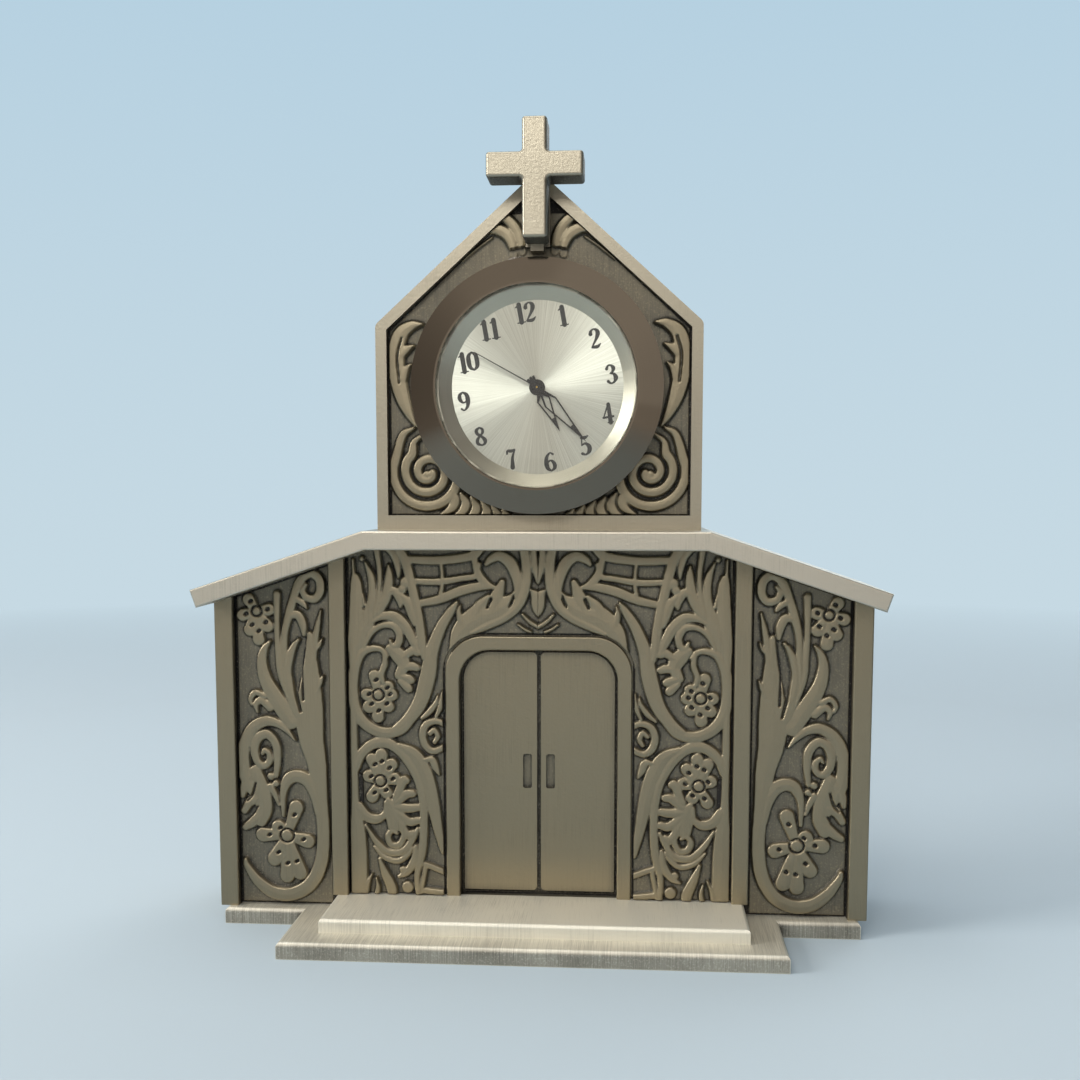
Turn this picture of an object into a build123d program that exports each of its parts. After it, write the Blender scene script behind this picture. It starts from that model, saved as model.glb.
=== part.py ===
# Steeple clock: a small cast pewter church whose tower holds a pull-out quartz clock.
# Millimetres. +Z is up, +X is to the right seen from the front, and the front faces -Y.
# The origin is the middle of the footprint, on the surface that the base plate stands on.
from build123d import *
from math import asin, atan, cos, degrees, hypot, pi, radians, sin, tan
import os

# Clearances
run_gap = 0.05  # radial, round shafts, stems and the grip ring
seat_gap = 0.05  # round covers, pegs and screws in their holes
cut_over = 1.0  # how far a cutting solid runs past what it cuts

# Base plate: one T-shaped slab, a wide part under the nave and a landing in front of the door
base_inset = 0.8  # from the nave's side in to the base plate's
base_depth = 25.5
base_thickness = 1.8
base_edge_round = 0.5
landing_width = 53.3
landing_reach = 11.5  # from the facade plane forwards
wing_plate_reach = 0.94

# Upper step, cast with two pegs that sit in the base plate
step_width = 45.8
step_reach = 8.25
step_thickness = 1.5
step_edge_round = 0.4
peg_radius = 1.2
peg_spacing = 28.0

# Nave: an open-backed shell with a sunk front, its wall strips and pilasters standing proud
nave_width = 72.6
wall_thickness = 1.6
panel_sink = 1.3  # from the facade plane back to the panel floor
wall_strip = 2.1
pilaster_width = 1.85
pilaster_spacing = 44.8
strip_round = 0.2

# Cast ornament on the nave's sunk panels: stems and flowers in low relief, even on both sides.
# Places are shares of a panel's width, counted outwards, and of its height.
stem_rise = 0.58  # from the panel floor forwards
broad_half_width = 0.7
vine_half_width = 0.45
tendril_half_width = 0.32
petal_half_width = 0.3
flower_heart_radius = 0.6
wing_broad_shares = (
    ((0.21, 0.748), (0.23, 0.594), (0.19, 0.466), (0.13, 0.313)),
    ((0.79, 0.379), (0.74, 0.307), (0.77, 0.249)),
)
wing_vine_shares = (
    ((0.11, 0.287), (0.12, 0.169), (0.21, 0.079), (0.43, 0.033), (0.65, 0.038), (0.80, 0.072)),
    ((0.51, 0.341), (0.45, 0.374), (0.36, 0.383), (0.25, 0.364)),
    ((0.48, 0.520), (0.63, 0.543), (0.825, 0.520), (0.915, 0.471), (0.92, 0.413)),
    ((0.44, 0.559), (0.56, 0.610), (0.69, 0.676), (0.70, 0.730)),
)
wing_tendril_shares = (
    ((0.485, 0.710), (0.47, 0.805), (0.375, 0.899)),
    ((0.34, 0.933), (0.265, 0.961), (0.17, 0.966), (0.11, 0.951)),
    ((0.17, 0.735), (0.135, 0.810)),
    ((0.53, 0.707), (0.55, 0.892)),
    ((0.585, 0.405), (0.585, 0.471), (0.68, 0.502), (0.78, 0.489), (0.80, 0.441)),
)
nave_broad_shares = (
    ((0.950, 0.033), (0.952, 0.222), (0.957, 0.339)),
    ((0.955, 0.726), (0.943, 0.884)),
    ((0.368, 0.784), (0.312, 0.805), (0.219, 0.823)),
    ((0.615, 0.568), (0.575, 0.639), (0.549, 0.708)),
)
nave_vine_shares = (
    ((0.871, 0.714), (0.922, 0.698), (0.959, 0.652), (0.966, 0.593), (0.948, 0.537), (0.894, 0.497),
     (0.806, 0.476), (0.722, 0.486), (0.652, 0.532)),
    ((0.536, 0.741), (0.503, 0.779), (0.461, 0.812)),
    ((0.936, 0.397), (0.857, 0.441), (0.773, 0.438), (0.698, 0.405), (0.633, 0.344), (0.608, 0.278),
     (0.603, 0.206), (0.612, 0.130), (0.633, 0.069)),
    ((0.643, 0.407), (0.591, 0.351), (0.554, 0.278), (0.529, 0.206)),
    ((0.063, 0.975), (0.063, 0.901), (0.098, 0.848), (0.168, 0.812), (0.261, 0.787)),
    ((0.680, 0.957), (0.654, 0.899), (0.619, 0.807), (0.601, 0.741)),
    ((0.754, 0.234), (0.759, 0.209)),
)
nave_tendril_shares = (
    ((0.671, 0.969), (0.512, 0.966), (0.354, 0.978)),
    ((0.605, 0.847), (0.512, 0.857), (0.400, 0.881), (0.307, 0.893)),
    ((0.624, 0.908), (0.512, 0.907), (0.391, 0.917)),
    ((0.847, 0.153), (0.787, 0.127), (0.712, 0.131), (0.666, 0.160)),
    ((0.251, 0.965), (0.196, 0.979), (0.140, 0.960), (0.112, 0.919)),
    ((0.931, 0.247), (0.880, 0.224), (0.829, 0.232)),
    ((0.857, 0.838), (0.864, 0.924)),
    ((0.792, 0.868), (0.773, 0.924)),
    ((0.820, 0.084), (0.782, 0.033)),
    ((0.792, 0.805), (0.731, 0.800), (0.675, 0.766)),
    ((0.591, 0.486), (0.598, 0.456), (0.554, 0.427)),
)
# Each flower: its heart, then the tips of its petals
wing_flower_shares = (
    ((0.76, 0.863), (0.845, 0.895), (0.63, 0.869), (0.90, 0.852), (0.835, 0.812), (0.745, 0.789),
     (0.655, 0.822)),
    ((0.485, 0.208), (0.39, 0.279), (0.585, 0.233), (0.73, 0.208), (0.615, 0.141), (0.495, 0.097),
     (0.365, 0.108), (0.235, 0.190)),
)
nave_flower_shares = (
    ((0.834, 0.583), (0.854, 0.637), (0.903, 0.581), (0.889, 0.545), (0.838, 0.525), (0.778, 0.547),
     (0.764, 0.583), (0.782, 0.609)),
    ((0.829, 0.334), (0.903, 0.349), (0.871, 0.392), (0.820, 0.400), (0.773, 0.377), (0.750, 0.339),
     (0.799, 0.300), (0.875, 0.290)),
)

# Door: a raised frame and two cast leaves in a sunk doorway
door_width = 20.8
door_top = 32.9
door_strip = 1.6
door_frame_sink = 0.7
door_corner = 4.2
doorway_sink = 2.6
leaf_sink = 2.0
leaf_margin = 0.35
leaf_foot_gap = 0.45
leaf_parting = 0.45
leaf_corner = 0.5
slot_width = 1.0
slot_height = 3.9
slot_spacing = 2.6
slot_middle = 17.5
slot_depth = 0.45
door_backing = 1.1

# Roof: one bent slab over the nave
roof_width = 74.8
roof_flat = 37.0
roof_top = 44.6
eave_top = 38.2
roof_thickness = 2.03
roof_overhang = 4.6
roof_edge_round = 0.2

# Tower: an open-backed shell with a framed sunk front and a bore for the clock insert
tower_width = 35.4
tower_sink = 0.35
tower_eave = 66.8
tower_apex = 82.8
tower_strip = 1.2
tower_rail = 1.6
tower_panel_sink = 1.2
apex_round = 2.0
shoulder_round = 0.8
bore_wall = 1.4
bore_lip = 1.0
bore_lip_length = 1.2
tongue_width = 2.6
tongue_foot = 74.8
cross_seat_width = 1.4
cross_seat_foot = 74.2
cross_seat_top = 80.0

# Cross, held on the tower's gable by a pin of its own
cross_top = 87.1
cross_foot = 74.9
cross_span = 10.1
cross_bar = 2.6
cross_arm_middle = 82.3
cross_front_reach = 4.2
cross_depth = 3.6
cross_edge_round = 0.35
cross_pin_radius = 0.6
cross_pin_length = 3.0
cross_pin_height = 78.0

# Covers and screws
cover_thickness = 1.2
cover_ledge = 0.8
push_hole_radius = 7.0
screw_head_radius = 1.3
screw_head_height = 0.6
screw_shank_radius = 0.75
screw_length = 5.0
screw_drive_width = 0.3
screw_drive_depth = 0.3
boss_radius = 1.9
base_boss_height = 5.0
base_screw_spacing = 58.0
tower_screw_spacing = 18.0
tower_boss_height = 3.0
tower_screw_from_back = 3.4

# Clock insert: depths are counted backwards from the front of the bezel
insert_middle = 59.9
insert_proud = 2.5  # from the facade plane forwards
insert_turn = 10.0  # anticlockwise, as it sits in the tower
bezel_radius = 13.5
bezel_flange = 1.8
bezel_rim = 1.1
bezel_crest = 0.2
bezel_skirt = 0.65
bezel_skirt_wall = 0.85
glass_radius = 10.7
glass_proud = 0.1
glass_thickness = 1.0
glass_chamfer = 0.15
dial_radius = 10.65
dial_thickness = 0.3
dial_below_glass = 1.1
dial_visible_radius = 9.25
dial_hole_radius = 0.75
case_radius = 12.2
case_wall = 1.4
case_length = 7.4
case_back_thickness = 0.8
case_back_step = 0.5
pry_notch_width = 3.0
pry_notch_depth = 0.5
grip_groove = 0.35
grip_length = 3.8
grip_from_back = 1.2
grip_thickness = 0.35
rib_height = 0.2
rib_count = 24
rib_width = 0.7
holder_wall = 1.35
holder_back_gap = 1.9

# Movement: plate, train, motor and cell
plate_thickness = 1.2
work_pocket_depth = 0.75
level_gap = 0.1
wheel_thickness = 0.15
pinion_thickness = 0.3
arbor_radius = 0.1
post_radius = 0.15
bridge_thickness = 0.35
bridge_top_reach = 4.4
bridge_top_direction = 62.0
bridge_side_reach = 3.7
bridge_side_direction = -22.0
magnet_radius = 0.55
magnet_thickness = 0.5
stator_thickness = 0.4
stator_hole_gap = 0.2
stator_cheek = 0.25
stator_arm = 0.6
coil_radius = 0.75
coil_core_width = 0.6
coil_core_thickness = 0.2
coil_length = 5.4
coil_flange = 0.3
coil_place = 6.3
cell_radius = 3.4
cell_thickness = 2.1
cell_cap_radius = 2.9
cell_cap_height = 0.25
cell_place = 5.65
clip_thickness = 0.15
clip_width = 2.4
board_thickness = 0.25
board_gap = 0.1
lug_direction = 45.0
small_screw_head = 0.6
small_screw_shank = 0.25
small_screw_head_height = 0.3

# Tooth counts, and modules of the meshing pairs
rotor_leaves = 8
fifth_teeth = 40
fifth_leaves = 8
fourth_teeth = 48
fourth_leaves = 8
third_teeth = 60
third_leaves = 8
centre_teeth = 64
cannon_leaves = 12
minute_work_teeth = 36
minute_work_leaves = 12
hour_teeth = 48
motor_module = 0.055
seconds_module = 0.06
centre_module = 0.06
cannon_module = 0.0625
third_direction = 190.0  # degrees from +X towards +Z, before the insert is turned
fifth_direction = 30.0
rotor_direction = -10.0
minute_work_direction = 90.0
tooth_root_share = 0.30
tooth_tip_share = 0.13
addendum_share = 0.9
dedendum_share = 1.15
crossing_count = 4
crossing_place_share = 0.6
crossing_radius_share = 0.2

# Crown, stem and setting lever
crown_radius = 0.8
crown_length = 1.45
crown_from_case = 0.3
crown_bore_depth = 1.0
crown_ribs = 18
crown_rib_depth = 0.08
stem_radius = 0.25
stem_middle_depth = 2.95
stem_inner_end = 4.2
groove_radius = 0.1
groove_gap = 0.03
groove_length = 0.5
groove_place = 6.0
setting_travel = 0.8
lever_thickness = 0.2
lever_arm = 1.8
lever_width = 0.7
lever_pin_radius = 0.12
lever_pivot_radius = 0.2

# Hands, all pointing to 12 before they are set
shown_hour = 5
shown_minutes = 24.6
shown_seconds = 51.5
hand_thickness = 0.12
hand_gap = 0.13
hour_hand_length = 5.3
hour_hand_width = 1.5
hour_hub_radius = 0.85
minute_hand_length = 7.9
minute_hand_width = 1.6
minute_hub_radius = 0.7
hand_rail = 0.16
hand_tail = 1.3
hand_shoulder_share = 0.27
hand_tip_share = 0.70
second_hand_length = 7.7
second_hand_width = 0.16
second_hand_tail = 1.8
second_hub_radius = 0.32
cannon_radius = 0.28
pipe_radius = 0.55

# Places worked out from the sizes above
base_front = -base_depth / 2
back_plane = base_depth / 2
base_width = nave_width - 2 * base_inset
facade = base_front + landing_reach
step_top = base_thickness + step_thickness
panel_floor = facade + panel_sink
nave_front_back = panel_floor + wall_thickness
roof_slope = atan((roof_top - eave_top) / ((roof_width - roof_flat) / 2))
roof_underside = roof_top - roof_thickness
tower_front = facade + tower_sink
tower_floor = tower_front + tower_panel_sink
tower_front_back = tower_floor + wall_thickness
insert_front = facade - insert_proud
insert_back = insert_front + bezel_flange + case_length
bore_radius = case_radius - grip_groove + run_gap + grip_thickness + rib_height + run_gap
screw_hole = screw_shank_radius + seat_gap
cross_front = facade - cross_front_reach
cross_back = cross_front + cross_depth
cover_front = back_plane - cover_thickness


def box(x0, x1, y0, y1, z0, z1):
    """A block between two corners."""
    middle = Pos((x0 + x1) / 2, (y0 + y1) / 2, (z0 + z1) / 2)
    return middle * Box(x1 - x0, y1 - y0, z1 - z0)


def rod(radius, y0, y1, x=0, z=0):
    """A round bar that runs from front to back."""
    return Pos(x, (y0 + y1) / 2, z) * Rot(90, 0, 0) * Cylinder(radius, y1 - y0)


def post(radius, z0, z1, x=0, y=0):
    """A round bar that stands upright."""
    return Pos(x, y, (z0 + z1) / 2) * Cylinder(radius, z1 - z0)


def ring(inner, outer, y0, y1, x=0, z=0):
    """A washer or tube that runs from front to back."""
    return rod(outer, y0, y1, x, z) - rod(inner, y0 - cut_over, y1 + cut_over, x, z)


def slab(face, y0, y1):
    """A front-view outline, given as X and Z, made into a plate from y0 back to y1."""
    return extrude(Plane(origin=(0, y1, 0), x_dir=(1, 0, 0), z_dir=(0, -1, 0)) * face, y1 - y0)


def turned(points):
    """A shape of revolution about the Y axis, from points of radius and depth."""
    return revolve(make_face(Polyline(*points, close=True)), axis=Axis.Y)


def outline(*points):
    """A closed face through points."""
    return make_face(Polyline(*points, close=True))


def mirrored(points):
    """Points of the right half, from the bottom up, followed by their mirror images."""
    return list(points) + [(-x, z) for x, z in reversed(points) if x > 0]


def rounded_at(face, height, radius):
    """A face with the corners at one height rounded."""
    corners = [v for v in face.vertices() if abs(v.Y - height) < radius / 2]
    return fillet(corners, radius)


def sunk_screw(length, head_height=screw_head_height):
    """A screw along Y: its head's face is at zero and its shank points to the front."""
    head = rod(screw_head_radius, -head_height, 0)
    shank = rod(screw_shank_radius, -length, -head_height)
    across = screw_head_radius - 2 * screw_drive_width
    drive = box(-across, across, -screw_drive_depth, cut_over, -screw_drive_width / 2, screw_drive_width / 2)
    return head + shank - drive - Rot(0, 90, 0) * drive


def sunk_hole(length):
    """The clear space round such a screw."""
    head = rod(screw_head_radius + seat_gap, -screw_head_height, cut_over)
    return head + rod(screw_shank_radius + seat_gap, -length - seat_gap, -screw_head_height)


def save(name, *shapes):
    """Writes one node, with every solid of the shapes given."""
    solids = [s for shape in shapes for s in shape.solids()]
    export_step(Compound(children=solids) if len(solids) > 1 else solids[0], f"parts/{name}.step")


# Church outlines, as points of X and Z
roof_half = roof_width / 2
roof_bend = roof_flat / 2
mitre = roof_thickness * tan(roof_slope / 2)
roof_line = [(roof_half, eave_top), (roof_bend, roof_top)]
roof_under_line = [
    (roof_half - roof_thickness * sin(roof_slope), eave_top - roof_thickness * cos(roof_slope)),
    (roof_bend - mitre, roof_underside),
]


def under_roof(x):
    """The height of the roof's underside at a distance from the middle."""
    bend_x, bend_z = roof_under_line[1]
    return bend_z - max(x - bend_x, 0) * tan(roof_slope)


def nave_points(inset, foot):
    """The nave's front view, drawn in by an even inset, down to a foot height."""
    half = nave_width / 2 - inset
    bend_x = roof_under_line[1][0] - inset * tan(roof_slope / 2)
    corner_z = under_roof(half) - inset / cos(roof_slope)
    return mirrored([(half, foot), (half, corner_z), (bend_x, roof_underside - inset)])


def gable_points(inset, foot):
    """The tower's front view, drawn in by an even inset, down to a foot height."""
    slope = (tower_apex - tower_eave) / (tower_width / 2)
    half = tower_width / 2 - inset
    drop = inset * hypot(1, slope)
    eave_z = tower_apex - drop - half * slope
    return mirrored([(half, foot), (half, eave_z), (0, tower_apex - drop)])


def make_base_plate():
    """The T-shaped plate, with its upper edges rounded and holes for pegs and screws."""
    wing_half = base_width / 2
    landing_half = landing_width / 2
    wing_front = facade - wing_plate_reach
    face = outline(
        (wing_half, back_plane),
        (wing_half, wing_front),
        (landing_half, wing_front),
        (landing_half, base_front),
        (-landing_half, base_front),
        (-landing_half, wing_front),
        (-wing_half, wing_front),
        (-wing_half, back_plane),
    )
    plate = extrude(face, base_thickness)
    upper = [e for e in plate.edges() if e.center().Z > base_thickness - base_edge_round / 2]
    plate = fillet([e for e in upper if e.center().Y < back_plane - base_edge_round], base_edge_round)
    for x in (-peg_spacing / 2, peg_spacing / 2):
        plate -= post(peg_radius + seat_gap, -cut_over, base_thickness + cut_over, x, peg_line)
    for place in base_screw_places:
        plate -= place * sunk_hole(screw_length)
    return plate


def make_step():
    """The upper step, rounded at its top edges, with its two pegs."""
    half = step_width / 2
    front = facade - step_reach
    body = box(-half, half, front, panel_floor, base_thickness, step_top)
    upper = [e for e in body.edges() if e.center().Z > step_top - step_edge_round / 2]
    body = fillet([e for e in upper if e.center().Y < panel_floor - step_edge_round], step_edge_round)
    for x in (-peg_spacing / 2, peg_spacing / 2):
        body += post(peg_radius, seat_gap, base_thickness, x, peg_line)
    return body


def upright(x0, x1, foot, top_x):
    """A strip of the facade, from a foot height to the roof, with its front edges rounded."""
    points = ((x0, foot), (x1, foot), (x1, under_roof(abs(x1))), (x0, under_roof(abs(x0))))
    strip = slab(outline(*points), facade, panel_floor + wall_thickness / 2)
    front = [e for e in strip.edges() if e.center().Y < facade + strip_round / 2]
    sides = [e for e in front if abs(e.center().X - top_x) > strip_round]
    return fillet(sides, strip_round)


def door_face(inset, foot):
    """The doorway's outline, drawn in by an even inset, with its upper corners rounded."""
    half = door_width / 2 - inset
    top = door_top - inset
    face = outline((half, foot), (half, top), (-half, top), (-half, foot))
    return rounded_at(face, top, door_corner - inset / 2)


def make_door_frame():
    """The raised strip round the doorway, with its front edges rounded."""
    frame = door_face(0, step_top) - door_face(door_strip, step_top - cut_over)
    front = facade + door_frame_sink
    solid = slab(frame, front, facade + doorway_sink + seat_gap)
    edges = [e for e in solid.edges() if e.center().Y < front + strip_round / 2]
    lengthwise = [e for e in edges if e.length > door_strip + strip_round or e.geom_type != GeomType.LINE]
    return fillet(lengthwise, strip_round)


def make_leaf(side):
    """One door leaf, in low relief, with a finger slot near the parting line."""
    outer = door_width / 2 - door_strip - leaf_margin
    top = door_top - door_strip - leaf_margin
    foot = step_top + leaf_foot_gap
    inner = leaf_parting / 2
    face = outline((inner, foot), (outer, foot), (outer, top), (inner, top))
    corner = [v for v in face.vertices() if v.X > outer - leaf_corner and v.Y > top - leaf_corner]
    face = fillet(corner, door_corner - door_strip / 2 - leaf_margin)
    inside = [v for v in face.vertices() if v.X < inner + leaf_corner / 2]
    face = fillet(inside, leaf_corner)
    leaf = slab(face, facade + leaf_sink, facade + doorway_sink + seat_gap)
    slot = Pos(slot_spacing / 2, slot_middle) * RectangleRounded(slot_width, slot_height, slot_width / 4)
    leaf -= slab(slot, facade + leaf_sink - cut_over, facade + leaf_sink + slot_depth)
    return leaf if side > 0 else mirror(leaf, Plane.YZ)


def stem(places, half_width):
    """The plan of a raised stem: an even band along a smooth line, with round ends."""
    line = Spline(*places)
    steps = 2 * len(places)
    left, right = [], []
    for share in (step / steps for step in range(steps + 1)):
        ahead = line % share
        sideways = Vector(-ahead.Y, ahead.X) * half_width
        left.append(line @ share + sideways)
        right.append(line @ share - sideways)
    head = line @ 1 + (line % 1) * half_width
    root = line @ 0 - (line % 0) * half_width
    head_arc = ThreePointArc(left[-1], head, right[-1])
    root_arc = ThreePointArc(right[0], root, left[0])
    return make_face([Spline(*left), head_arc, Spline(*reversed(right)), root_arc])


def ornament(side, near, far, foot, top, stem_tables, flowers):
    """One panel's stems and flowers, between two distances from the middle and two heights."""
    def spot(share):
        across, up = share
        return side * (near + across * (far - near)), foot + up * (top - foot)

    plan = Sketch()
    for half_width, lines in stem_tables:
        plan += [stem([spot(share) for share in line], half_width) for line in lines]
    for heart, *tips in flowers:
        plan += Pos(*spot(heart)) * Circle(flower_heart_radius)
        plan += [stem([spot(heart), spot(tip)], petal_half_width) for tip in tips]
    return slab(plan, panel_floor - stem_rise, panel_floor + wall_thickness / 2)


def make_nave():
    """The nave casting: shell, strips, pilasters, door frame, leaves and screw bosses."""
    nave = slab(outline(*nave_points(0, base_thickness)), panel_floor, back_plane)
    cavity = outline(*nave_points(wall_thickness, base_thickness + wall_thickness))
    nave -= slab(cavity, nave_front_back, back_plane + cut_over)
    half = nave_width / 2
    pilaster_inner = (pilaster_spacing - pilaster_width) / 2
    pilaster_outer = (pilaster_spacing + pilaster_width) / 2
    for side in (-1, 1):
        wall = sorted((side * (half - wall_strip), side * half))
        nave += upright(*wall, base_thickness, sum(wall) / 2)
        pilaster = sorted((side * pilaster_inner, side * pilaster_outer))
        nave += upright(*pilaster, step_top, sum(pilaster) / 2)
    backing = door_face(-wall_thickness, step_top - wall_thickness)
    nave += slab(backing, nave_front_back - seat_gap, nave_front_back + door_backing)
    nave -= slab(door_face(door_strip / 2, step_top), facade - cut_over, facade + doorway_sink)
    nave += make_door_frame()
    nave += make_leaf(-1)
    nave += make_leaf(1)
    wing_tables = (
        (broad_half_width, wing_broad_shares),
        (vine_half_width, wing_vine_shares),
        (tendril_half_width, wing_tendril_shares),
    )
    nave_tables = (
        (broad_half_width, nave_broad_shares),
        (vine_half_width, nave_vine_shares),
        (tendril_half_width, nave_tendril_shares),
    )
    wing_top = under_roof(pilaster_outer)
    wing_sides = (pilaster_outer, half - wall_strip, base_thickness, wing_top)
    for side in (-1, 1):
        nave += ornament(side, *wing_sides, wing_tables, wing_flower_shares)
        nave += ornament(side, 0, pilaster_inner, step_top, roof_underside, nave_tables, nave_flower_shares)
    for place in nave_cover_places:
        nave += place * rod(boss_radius, nave_front_back - back_plane - seat_gap, -cover_thickness)
    for place in base_screw_places:
        nave += place * rod(boss_radius, -base_boss_height - base_thickness, -base_thickness - seat_gap)
    nave &= slab(outline(*nave_points(0, base_thickness)), facade, back_plane)
    ledge = outline(*nave_points(cover_ledge, base_thickness + cover_ledge))
    nave -= slab(ledge, cover_front, back_plane + cut_over)
    for place in nave_cover_places + base_screw_places:
        nave -= place * sunk_hole(screw_length)
    for x in tower_screw_line:
        nave -= post(screw_hole, roof_underside - wall_thickness - cut_over, roof_top, x, tower_screw_y)
    return nave


def make_nave_cover():
    """The flat plate that closes the nave's back."""
    points = nave_points(cover_ledge + seat_gap, base_thickness + cover_ledge + seat_gap)
    cover = slab(outline(*points), cover_front, back_plane)
    for place in nave_cover_places:
        cover -= place * sunk_hole(screw_length)
    return cover


def make_roof():
    """The bent roof slab, with holes for the tower's screws."""
    points = roof_line + [(-x, z) for x, z in reversed(roof_line)]
    points += [(-x, z) for x, z in roof_under_line] + list(reversed(roof_under_line))
    roof = slab(outline(*points), facade - roof_overhang, back_plane)
    front = [e for e in roof.edges() if e.center().Y < facade - roof_overhang + roof_edge_round / 2]
    roof = fillet(front, roof_edge_round)
    for x in tower_screw_line:
        roof -= post(screw_hole, roof_underside - cut_over, roof_top + cut_over, x, tower_screw_y)
    return roof


def gable_face(inset, foot):
    """The tower's outline as a face, with its apex and shoulders rounded."""
    face = outline(*gable_points(inset, foot))
    ranked = sorted(face.vertices(), key=lambda v: v.Y)
    face = fillet([ranked[-1]], max(apex_round - inset, strip_round))
    ranked = sorted(face.vertices(), key=lambda v: -abs(v.X))
    shoulders = [v for v in ranked[:4] if v.Y > foot + wall_thickness]
    return fillet(shoulders, max(shoulder_round - inset / 2, strip_round))


def make_tower():
    """The tower casting: shell, frame, bore for the insert, cross seat and bosses."""
    tower = slab(gable_face(0, roof_top), tower_front, back_plane)
    panel = gable_face(tower_strip, roof_top + tower_rail)
    half_tongue = tongue_width / 2
    tongue = outline(*mirrored([(half_tongue, tongue_foot), (half_tongue, tower_apex)]))
    tower -= slab(panel - tongue, tower_front - cut_over, tower_floor)
    cavity = outline(*gable_points(wall_thickness, roof_top + wall_thickness))
    tower -= slab(cavity, tower_front_back, back_plane + cut_over)
    lip_end = insert_back + bore_lip_length
    tower += rod(bore_radius + bore_wall, tower_floor + seat_gap, lip_end, 0, insert_middle)
    for place in tower_cover_places:
        tower += place * rod(boss_radius, tower_front_back - back_plane - seat_gap, -cover_thickness)
    for x in tower_screw_line:
        tower += post(boss_radius, roof_top, roof_top + wall_thickness + tower_boss_height, x, tower_screw_y)
    tower &= slab(gable_face(0, roof_top), tower_front, back_plane)
    half_seat = cross_seat_width / 2
    tower += box(-half_seat, half_seat, cross_back, tower_floor, cross_seat_foot, cross_seat_top)
    tower -= rod(bore_radius, tower_front - cut_over, insert_back, 0, insert_middle)
    tower -= rod(case_radius - bore_lip, insert_back - cut_over, lip_end + cut_over, 0, insert_middle)
    ledge = outline(*gable_points(cover_ledge, roof_top + cover_ledge))
    tower -= slab(ledge, cover_front, back_plane + cut_over)
    for place in tower_cover_places:
        tower -= place * sunk_hole(screw_length)
    for x in tower_screw_line:
        tower -= post(screw_hole, roof_top - cut_over, tower_screw_tip + seat_gap, x, tower_screw_y)
    pin_end = cross_back + cross_pin_length + seat_gap
    tower -= rod(cross_pin_radius + seat_gap, cross_back - cut_over, pin_end, 0, cross_pin_height)
    return tower


def make_tower_cover():
    """The plate that closes the tower's back, with a hole for pushing the insert out."""
    points = gable_points(cover_ledge + seat_gap, roof_top + cover_ledge + seat_gap)
    cover = slab(outline(*points), cover_front, back_plane)
    cover -= rod(push_hole_radius, cover_front - cut_over, back_plane + cut_over, 0, insert_middle)
    for place in tower_cover_places:
        cover -= place * sunk_hole(screw_length)
    return cover


def make_tower_screws():
    """The two screws that hold nave, roof and tower together, with heads inside the nave."""
    bearing = roof_underside - wall_thickness
    screws = []
    for x in tower_screw_line:
        screw = sunk_screw(tower_screw_tip - bearing + screw_head_height)
        screws.append(Pos(x, tower_screw_y, bearing - screw_head_height) * Rot(-90, 0, 0) * screw)
    return screws


def make_cross():
    """The cross, with rounded edges and the pin that holds it."""
    half_bar = cross_bar / 2
    upright_bar = box(-half_bar, half_bar, cross_front, cross_back, cross_foot, cross_top)
    low_arm = cross_arm_middle - half_bar
    arms = box(-cross_span / 2, cross_span / 2, cross_front, cross_back, low_arm, cross_arm_middle + half_bar)
    cross = upright_bar + arms
    free_edges = [e for e in cross.edges() if e.center().Y < cross_back - cross_edge_round]
    cross = fillet(free_edges, cross_edge_round)
    return cross + rod(cross_pin_radius, cross_back, cross_back + cross_pin_length, 0, cross_pin_height)


# Fastener places. A cover screw stands on the back plane, a base screw under the base plate.
def on_back(x, z):
    """A place on the back plane for a screw that points to the front."""
    return Pos(x, back_plane, z)


boss_inset = wall_thickness / 2 + boss_radius
nave_low = base_thickness + boss_inset
nave_high = under_roof(pilaster_spacing / 2) - boss_inset
nave_cover_places = [
    on_back(x, z)
    for x, z in (
        (-nave_width / 2 + boss_inset, nave_low),
        (nave_width / 2 - boss_inset, nave_low),
        (-pilaster_spacing / 2, nave_high),
        (pilaster_spacing / 2, nave_high),
    )
]
tower_low = roof_top + boss_inset
bore_reach = bore_radius + bore_wall / 2 + boss_radius
tower_cover_places = [
    on_back(x, z)
    for x, z in (
        (-tower_width / 2 + boss_inset, tower_low),
        (tower_width / 2 - boss_inset, tower_low),
        (0, insert_middle + bore_reach),
    )
]
base_screw_y = (nave_front_back + cover_front) / 2
base_screw_line = (-base_screw_spacing / 2, base_screw_spacing / 2)
base_screw_places = [Pos(x, base_screw_y, 0) * Rot(-90, 0, 0) for x in base_screw_line]
peg_line = facade - step_reach / 2
tower_screw_y = back_plane - tower_screw_from_back
tower_screw_line = (-tower_screw_spacing / 2, tower_screw_spacing / 2)
tower_screw_tip = roof_top + wall_thickness + tower_boss_height - wall_thickness / 2

# Insert levels, as depths behind the front of the bezel
glass_front = glass_proud
glass_back = glass_front + glass_thickness
dial_front = glass_back + dial_below_glass
plate_front = dial_front + dial_thickness
plate_back = plate_front + plate_thickness
case_front = bezel_flange
case_end = bezel_flange + case_length
case_bore = case_radius - case_wall
plate_radius = case_bore - run_gap - holder_wall - seat_gap
insert_place = Pos(0, insert_front, insert_middle) * Rot(0, -insert_turn, 0)


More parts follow.
